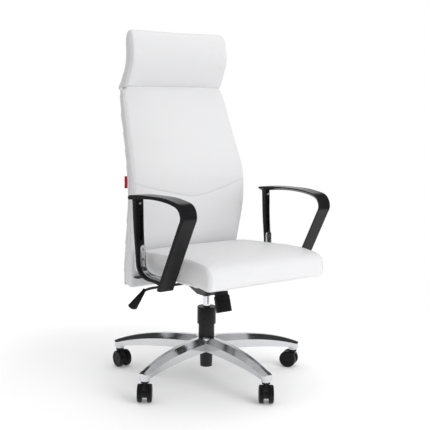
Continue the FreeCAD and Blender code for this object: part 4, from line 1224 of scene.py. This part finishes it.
def make_arms():
    """Finish of the arms, with the brackets' raised lines, the posts' ribs and the screws."""
    finish_nodes(satin_nylon(), nodes_like("left_arm_loop", "right_arm_loop",
                                           "left_arm_post", "right_arm_post"))
    finish_nodes(bright_chrome(), nodes_like("left_arm_bracket", "right_arm_bracket"))
    finish_nodes(zinc_plate(), ["arm_bolts"])
    for side, label in SIDES[::-1]:
        low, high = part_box(label + "_arm_bracket")
        outer = max(abs(low.x), abs(high.x))
        beads = []
        for inset in BEAD_INSETS:
            line = post_line(side * (outer - inset), 1.0, BAR_DEPTH + 0.0002)
            line = [point for point in line if BEAD_LOW_Z < point.z < BEAD_HIGH_Z]
            beads.append(tube_mesh(evened(line, 0.003), 0.0011, 8))
        new_piece(label + "_arm_bracket_beads", *joined(beads), bright_chrome(), BODY, "chrome_bracket")
        face = post_line(side * (outer - 0.010), 1.0, BAR_DEPTH)
        heads = [lathed(BRACKET_SCREW, at_height(face, height), Vector((0, -1, 0)), 24)
                 for height in BRACKET_SCREW_HEIGHTS]
        new_piece(label + "_arm_bracket_screws", *joined(heads), zinc_plate(), BODY, "bright_steel")
        post_low, post_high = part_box(label + "_arm_post")
        middle = (post_low.x + post_high.x) / 2
        inside = post_line(middle, 0.55, 0.0)
        ribs = [rounded_box(at_height(inside, RIB_LOW_Z + step * RIB_PITCH), RIB_HALF, 0.0003)
                for step in range(5)]
        new_piece(label + "_arm_post_ribs", *joined(ribs), satin_nylon(), BODY, "arm_nylon")
        top = at_height(post_line(middle, 0.5, 0.0), 0.640)
        screw = lathed(PAD_SCREW, Vector((middle, top.y - 0.0125, PAD_SCREW_Z)), PAD_SCREW_WAY, 24)
        new_piece(label + "_arm_pad_screw", *screw, zinc_plate(), BODY, "bright_steel")


def rounded_box(centre, half, radius):
    """Vertices and faces of a box with bevelled edges."""
    made = bmesh.new()
    bmesh.ops.create_cube(made, size=2)
    bmesh.ops.scale(made, vec=half, verts=made.verts)
    bmesh.ops.bevel(made, geom=made.edges, offset=radius, segments=2, affect="EDGES")
    vertices = [centre + vertex.co for vertex in made.verts]
    index = {vertex: number for number, vertex in enumerate(made.verts)}
    faces = [tuple(index[vertex] for vertex in face.verts) for face in made.faces]
    made.free()
    return vertices, faces


def make_base():
    finish_nodes(polished_aluminium(), ["base_star"])


def make_casters():
    pins = [name for name in nodes_like("caster_") if name.endswith("pins")]
    finish_nodes(caster_nylon(), [name for name in nodes_like("caster_") if name not in pins])
    finish_nodes(zinc_plate(), pins)


def make_lift():
    finish_nodes(powder_coat(), ["lift_outer_tube"])
    finish_nodes(bright_chrome(), ["lift_inner_tube"])
    finish_nodes(cover_plastic(), nodes_like("cover_") + ["lift_guide_bush"])
    finish_nodes(zinc_plate(), ["lift_piston_rod", "lift_thrust_bearing", "lift_retaining_clip",
                                "lift_valve_pin"])


# The knob turns about its bolt, from the middle of its lower face upwards.
KNOB_FOOT = Vector((0, -0.104, 0.250))
KNOB_AXIS = Vector((0, 0.287361, 0.957822))
# The knob's neck is a ring on top of it: inner and outer radius, heights above the knob's foot.
NECK_INNER_R = 0.0228
NECK_OUTER_R = 0.0242
NECK_LOW = 0.059
NECK_HIGH = 0.071
NECK_CHAMFER = 0.0004


def make_mechanism():
    """Finish of the tilt mechanism, with the neck on its knob."""
    finish_nodes(powder_coat(), ["mechanism_housing", "mechanism_top_plate", "back_bracket", "lever_rod"])
    finish_nodes(zinc_plate(), ["tilt_axle", "tilt_spring", "tension_bolt", "lever_pivot_pin", "seat_bolts",
                                "back_bolts", "tee_nuts"])
    finish_nodes(grained_plastic(), ["tension_knob", "lever_bush", "lever_paddle"])
    section = ((NECK_INNER_R, NECK_LOW), (NECK_OUTER_R, NECK_LOW),
               (NECK_OUTER_R, NECK_HIGH - NECK_CHAMFER), (NECK_OUTER_R - NECK_CHAMFER, NECK_HIGH),
               (NECK_INNER_R, NECK_HIGH))
    neck = lathed(section, KNOB_FOOT, KNOB_AXIS, 64, True)
    new_piece("tension_knob_neck", *neck, grained_plastic(), "knob", "black_plastic", False)


# Staples along each edge of the dust cover, how far in from it, and how far from its corners.
STAPLE_COUNT = 12
STAPLE_INSET = 0.007
STAPLE_END = 0.02
# A staple's wire: along its crown, and height against the dust cover.
STAPLE_WIRE = ((-0.005, 0.0012), (-0.0045, -0.0004), (0.0, -0.0005), (0.0045, -0.0004), (0.005, 0.0012))


def make_underside():
    """Finish of the boards and the dust cover, with the cover's staples."""
    finish_nodes(plywood(), ["seat_board", "back_board"])
    finish_nodes(dust_cloth(), ["seat_underside_cover"])
    low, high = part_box("seat_underside_cover")
    staples = []
    for side, _ in SIDES:
        for step in range(STAPLE_COUNT):
            share = step / (STAPLE_COUNT - 1)
            x = side * (high.x - STAPLE_INSET)
            y = low.y + STAPLE_END + (high.y - low.y - STAPLE_END * 2) * share
            staples.append(staple(x, y, Vector((0, 1, 0))))
            x = low.x + STAPLE_END + (high.x - low.x - STAPLE_END * 2) * share
            y = (high.y if side > 0 else low.y) - side * STAPLE_INSET
            staples.append(staple(x, y, Vector((1, 0, 0))))
    new_piece("underside_staples", *joined(staples), zinc_plate(), BODY, "bright_steel")


def staple(x, y, along):
    """One wire staple driven through the dust cover, its crown just proud of it."""
    own = into_seat(Vector((x, y, upholstery().seat_height)))
    crown = [from_seat(own.x + along.x * t, own.y + along.y * t, z) for t, z in STAPLE_WIRE]
    return tube_mesh(crown, 0.0004, 6)


def make_label():
    """A folded tape caught in the side seam: two leaves that meet at a round fold."""
    low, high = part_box("label_tab")
    thick = 0.0007
    reach = high.x - low.x + upholstery().proud * 2
    middle = (low.y + high.y) / 2
    leaf = [(0.0, thick * 1.6), (0.55, thick * 2.0), (0.9, thick * 1.9), (0.97, thick)]
    section = leaf + [(along, -across) for along, across in leaf[::-1]]
    rings = []
    for step in range(13):
        height = low.z + (high.z - low.z) * step / 12
        sway = 0.0004 * math.sin(step * 0.9)
        rings.append([Vector((high.x - reach * along, middle + across + sway * along, height))
                      for along, across in section])
    tab = new_piece("side_tab", *lofted(rings), red_tape(), BODY, "red_tape")
    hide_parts("label_tab")


# ---------------------------------------------------------------- stage
# Level direction of the bright wall, and how far round towards it the reflections turn from dark to bright.
WALL_WAY = (0.584, 0.812, 0.0)
WALL_START = 0.30
WALL_FULL = 0.72
DARK_ROOM = 0.05
# Rise of the view at which the wall gives way to the dark ceiling.
CEILING_START = 0.30
CEILING_FULL = 0.60
FLOOR_RADIUS = 1.35
RIM_GLOW = 0.22


def area_light(name, place, aim, size, power, mirrored=True):
    """A soft light aimed at a point; one that isn't mirrored stays out of reflections."""
    light = bpy.data.lights.new(name, "AREA")
    light.shape = "RECTANGLE"
    light.size, light.size_y = size
    light.energy = power
    lamp = bpy.data.objects.new(name, light)
    lamp.location = place
    lamp.rotation_mode = "QUATERNION"
    lamp.rotation_quaternion = (Vector(aim) - Vector(place)).to_track_quat("-Z", "Y")
    lamp.visible_glossy = mirrored
    bpy.context.scene.collection.objects.link(lamp)


def studio_world(ambient):
    """White backdrop and even light; polished parts reflect a bright wall behind and a dark room in front."""
    world = bpy.data.worlds.new("studio")
    world.use_nodes = True
    tree = world.node_tree
    nodes = tree.nodes

    def spread(value, start, end, low, high):
        made = nodes.new("ShaderNodeMapRange")
        for socket, number in (("From Min", start), ("From Max", end), ("To Min", low), ("To Max", high)):
            made.inputs[socket].default_value = number
        tree.links.new(value, made.inputs["Value"])
        return made.outputs["Result"]

    def mixed(share, first, second):
        made = nodes.new("ShaderNodeMix")
        tree.links.new(share, made.inputs[0])
        for socket, value in ((made.inputs[2], first), (made.inputs[3], second)):
            if isinstance(value, float):
                socket.default_value = value
            else:
                tree.links.new(value, socket)
        return made.outputs[0]

    way = nodes.new("ShaderNodeTexCoord").outputs["Generated"]
    apart = nodes.new("ShaderNodeSeparateXYZ")
    tree.links.new(way, apart.inputs[0])
    towards = nodes.new("ShaderNodeVectorMath")
    towards.operation = "DOT_PRODUCT"
    towards.inputs[1].default_value = WALL_WAY
    tree.links.new(way, towards.inputs[0])
    wall = spread(towards.outputs["Value"], WALL_START, WALL_FULL, DARK_ROOM, 1.0)
    reflected = mixed(spread(apart.outputs["Z"], CEILING_START, CEILING_FULL, 0.0, 1.0), wall, DARK_ROOM)
    rays = nodes.new("ShaderNodeLightPath")
    even = mixed(rays.outputs["Is Glossy Ray"], ambient, reflected)
    tree.links.new(mixed(rays.outputs["Is Camera Ray"], even, 1.0), nodes["Background"].inputs["Strength"])
    nodes["Background"].inputs["Color"].default_value = (1, 1, 1, 1)
    return world


def make_stage():
    """Pale floor, soft light and the camera."""
    scene = bpy.context.scene
    set_up = scene.chair_stage
    look = Finish("floor_paint")
    base = tuple(set_up.floor)
    look.colour(look.ramp(look.noise(1.5, 3.0), (0.3, shade(base, 0.985)), (0.7, base)))
    look.rough(look.spread(look.noise(40.0, 4.0), 0.75, 0.85))
    look.constant(Emission_Color=(1, 1, 1, 1), Specular_IOR_Level=0.1)
    reach = look.node("ShaderNodeVectorMath", {0: look.place}, operation="LENGTH").outputs["Value"]
    glow = look.spread(reach, set_up.floor_glow, set_up.floor_glow + RIM_GLOW,
                       FLOOR_RADIUS * 0.5, FLOOR_RADIUS)
    look.tree.links.new(glow, look.shader.inputs["Emission Strength"])
    rim = [Vector((math.cos(turn), math.sin(turn), 0)) * FLOOR_RADIUS
           for turn in (2 * math.pi * step / 96 for step in range(96))]
    floor = new_piece("floor", rim, [tuple(range(96))], look.material, None)
    scene.world = studio_world(set_up.ambient)
    area_light("key_light", (1.3, -3.8, 2.9), (0, 0, 0.6), (2.6, 2.6), set_up.key_power, False)
    area_light("fill_light", (-3.4, 1.2, 1.6), (0, 0, 0.6), (1.6, 2.4), set_up.fill_power)
    area_light("front_light", (0.6, -3.6, 0.9), (0, 0, 0.6), (3.0, 1.4), set_up.front_power, False)
    area_light("top_light", (0.6, 0.4, 3.8), (0, 0, 0.5), (3.0, 3.0), set_up.top_power, False)
    lens = bpy.data.cameras.new("camera")
    lens.lens = set_up.lens
    lens.sensor_width = 36.0
    camera = bpy.data.objects.new("camera", lens)
    camera.matrix_world = (Matrix.Translation(set_up.eye) @ Matrix.Rotation(set_up.heading, 4, "Z")
                           @ Matrix.Rotation(math.pi / 2 - set_up.pitch, 4, "X")
                           @ Matrix.Rotation(set_up.roll, 4, "Z"))
    scene.collection.objects.link(camera)
    scene.camera = camera
    scene.view_settings.view_transform = "Standard"


# ---------------------------------------------------------------- operators and panel
def upholstery():
    return bpy.context.scene.chair_upholstery


def hardware():
    return bpy.context.scene.chair_hardware


class ChairOperator:
    """What the chair's operators share."""
    bl_options = {"REGISTER", "UNDO"}
    makers = ()

    def execute(self, context):
        for maker in self.makers:
            maker()
        return {"FINISHED"}


class CHAIR_OT_stage(ChairOperator, bpy.types.Operator):
    """Lay the floor and set up the lights and the camera"""
    bl_idname = "chair.stage"
    bl_label = "Stage"
    makers = (make_stage,)


class CHAIR_OT_seat(ChairOperator, bpy.types.Operator):
    """Sew and fill the seat"""
    bl_idname = "chair.seat"
    bl_label = "Seat"
    makers = (make_seat,)


class CHAIR_OT_back(ChairOperator, bpy.types.Operator):
    """Sew and fill the back's front pad and rear panel"""
    bl_idname = "chair.back"
    bl_label = "Back"
    makers = (make_back_pad, make_back_cover)


class CHAIR_OT_headrest(ChairOperator, bpy.types.Operator):
    """Sew and fill the headrest"""
    bl_idname = "chair.headrest"
    bl_label = "Headrest"
    makers = (make_headrest,)


class CHAIR_OT_arms(ChairOperator, bpy.types.Operator):
    """Finish the arm loops, posts and brackets and add their trim"""
    bl_idname = "chair.arms"
    bl_label = "Arms"
    makers = (make_arms,)


class CHAIR_OT_base(ChairOperator, bpy.types.Operator):
    """Polish the star base"""
    bl_idname = "chair.base"
    bl_label = "Star base"
    makers = (make_base,)


class CHAIR_OT_casters(ChairOperator, bpy.types.Operator):
    """Finish the casters"""
    bl_idname = "chair.casters"
    bl_label = "Casters"
    makers = (make_casters,)


class CHAIR_OT_lift(ChairOperator, bpy.types.Operator):
    """Finish the gas lift and its telescopic cover"""
    bl_idname = "chair.lift"
    bl_label = "Gas lift"
    makers = (make_lift,)


class CHAIR_OT_mechanism(ChairOperator, bpy.types.Operator):
    """Finish the tilt mechanism, its knob and its lever"""
    bl_idname = "chair.mechanism"
    bl_label = "Tilt mechanism"
    makers = (make_mechanism,)


class CHAIR_OT_underside(ChairOperator, bpy.types.Operator):
    """Finish the boards and the dust cover, and staple the cover down"""
    bl_idname = "chair.underside"
    bl_label = "Underside"
    makers = (make_underside,)


class CHAIR_OT_label(ChairOperator, bpy.types.Operator):
    """Weave the blank side tab"""
    bl_idname = "chair.label"
    bl_label = "Side tab"
    makers = (make_label,)


OPERATORS = (CHAIR_OT_stage, CHAIR_OT_seat, CHAIR_OT_back, CHAIR_OT_headrest, CHAIR_OT_arms, CHAIR_OT_base,
             CHAIR_OT_casters, CHAIR_OT_lift, CHAIR_OT_mechanism, CHAIR_OT_underside, CHAIR_OT_label)
SETTINGS = (("chair_upholstery", ChairUpholstery), ("chair_hardware", ChairHardware),
            ("chair_stage", ChairStage))


class CHAIR_PT_panel(bpy.types.Panel):
    """Settings and makers of the chair"""
    bl_idname = "CHAIR_PT_panel"
    bl_label = "Swivel chair"
    bl_space_type = "VIEW_3D"
    bl_region_type = "UI"
    bl_category = "Chair"

    def draw(self, context):
        for key, group in SETTINGS:
            box = self.layout.box()
            values = getattr(context.scene, key)
            for name in group.__annotations__:
                box.prop(values, name)
        for operator in OPERATORS:
            self.layout.operator(operator.bl_idname)


def register():
    for key, group in SETTINGS:
        bpy.utils.register_class(group)
        setattr(bpy.types.Scene, key, PointerProperty(type=group))
    for operator in OPERATORS:
        bpy.utils.register_class(operator)
    bpy.utils.register_class(CHAIR_PT_panel)


def unregister():
    bpy.utils.unregister_class(CHAIR_PT_panel)
    for operator in reversed(OPERATORS):
        bpy.utils.unregister_class(operator)
    for key, group in reversed(SETTINGS):
        delattr(bpy.types.Scene, key)
        bpy.utils.unregister_class(group)


def main():
    register()
    for operator in OPERATORS:
        group, name = operator.bl_idname.split(".")
        getattr(getattr(bpy.ops, group), name)()


if __name__ == "__main__":
    main()
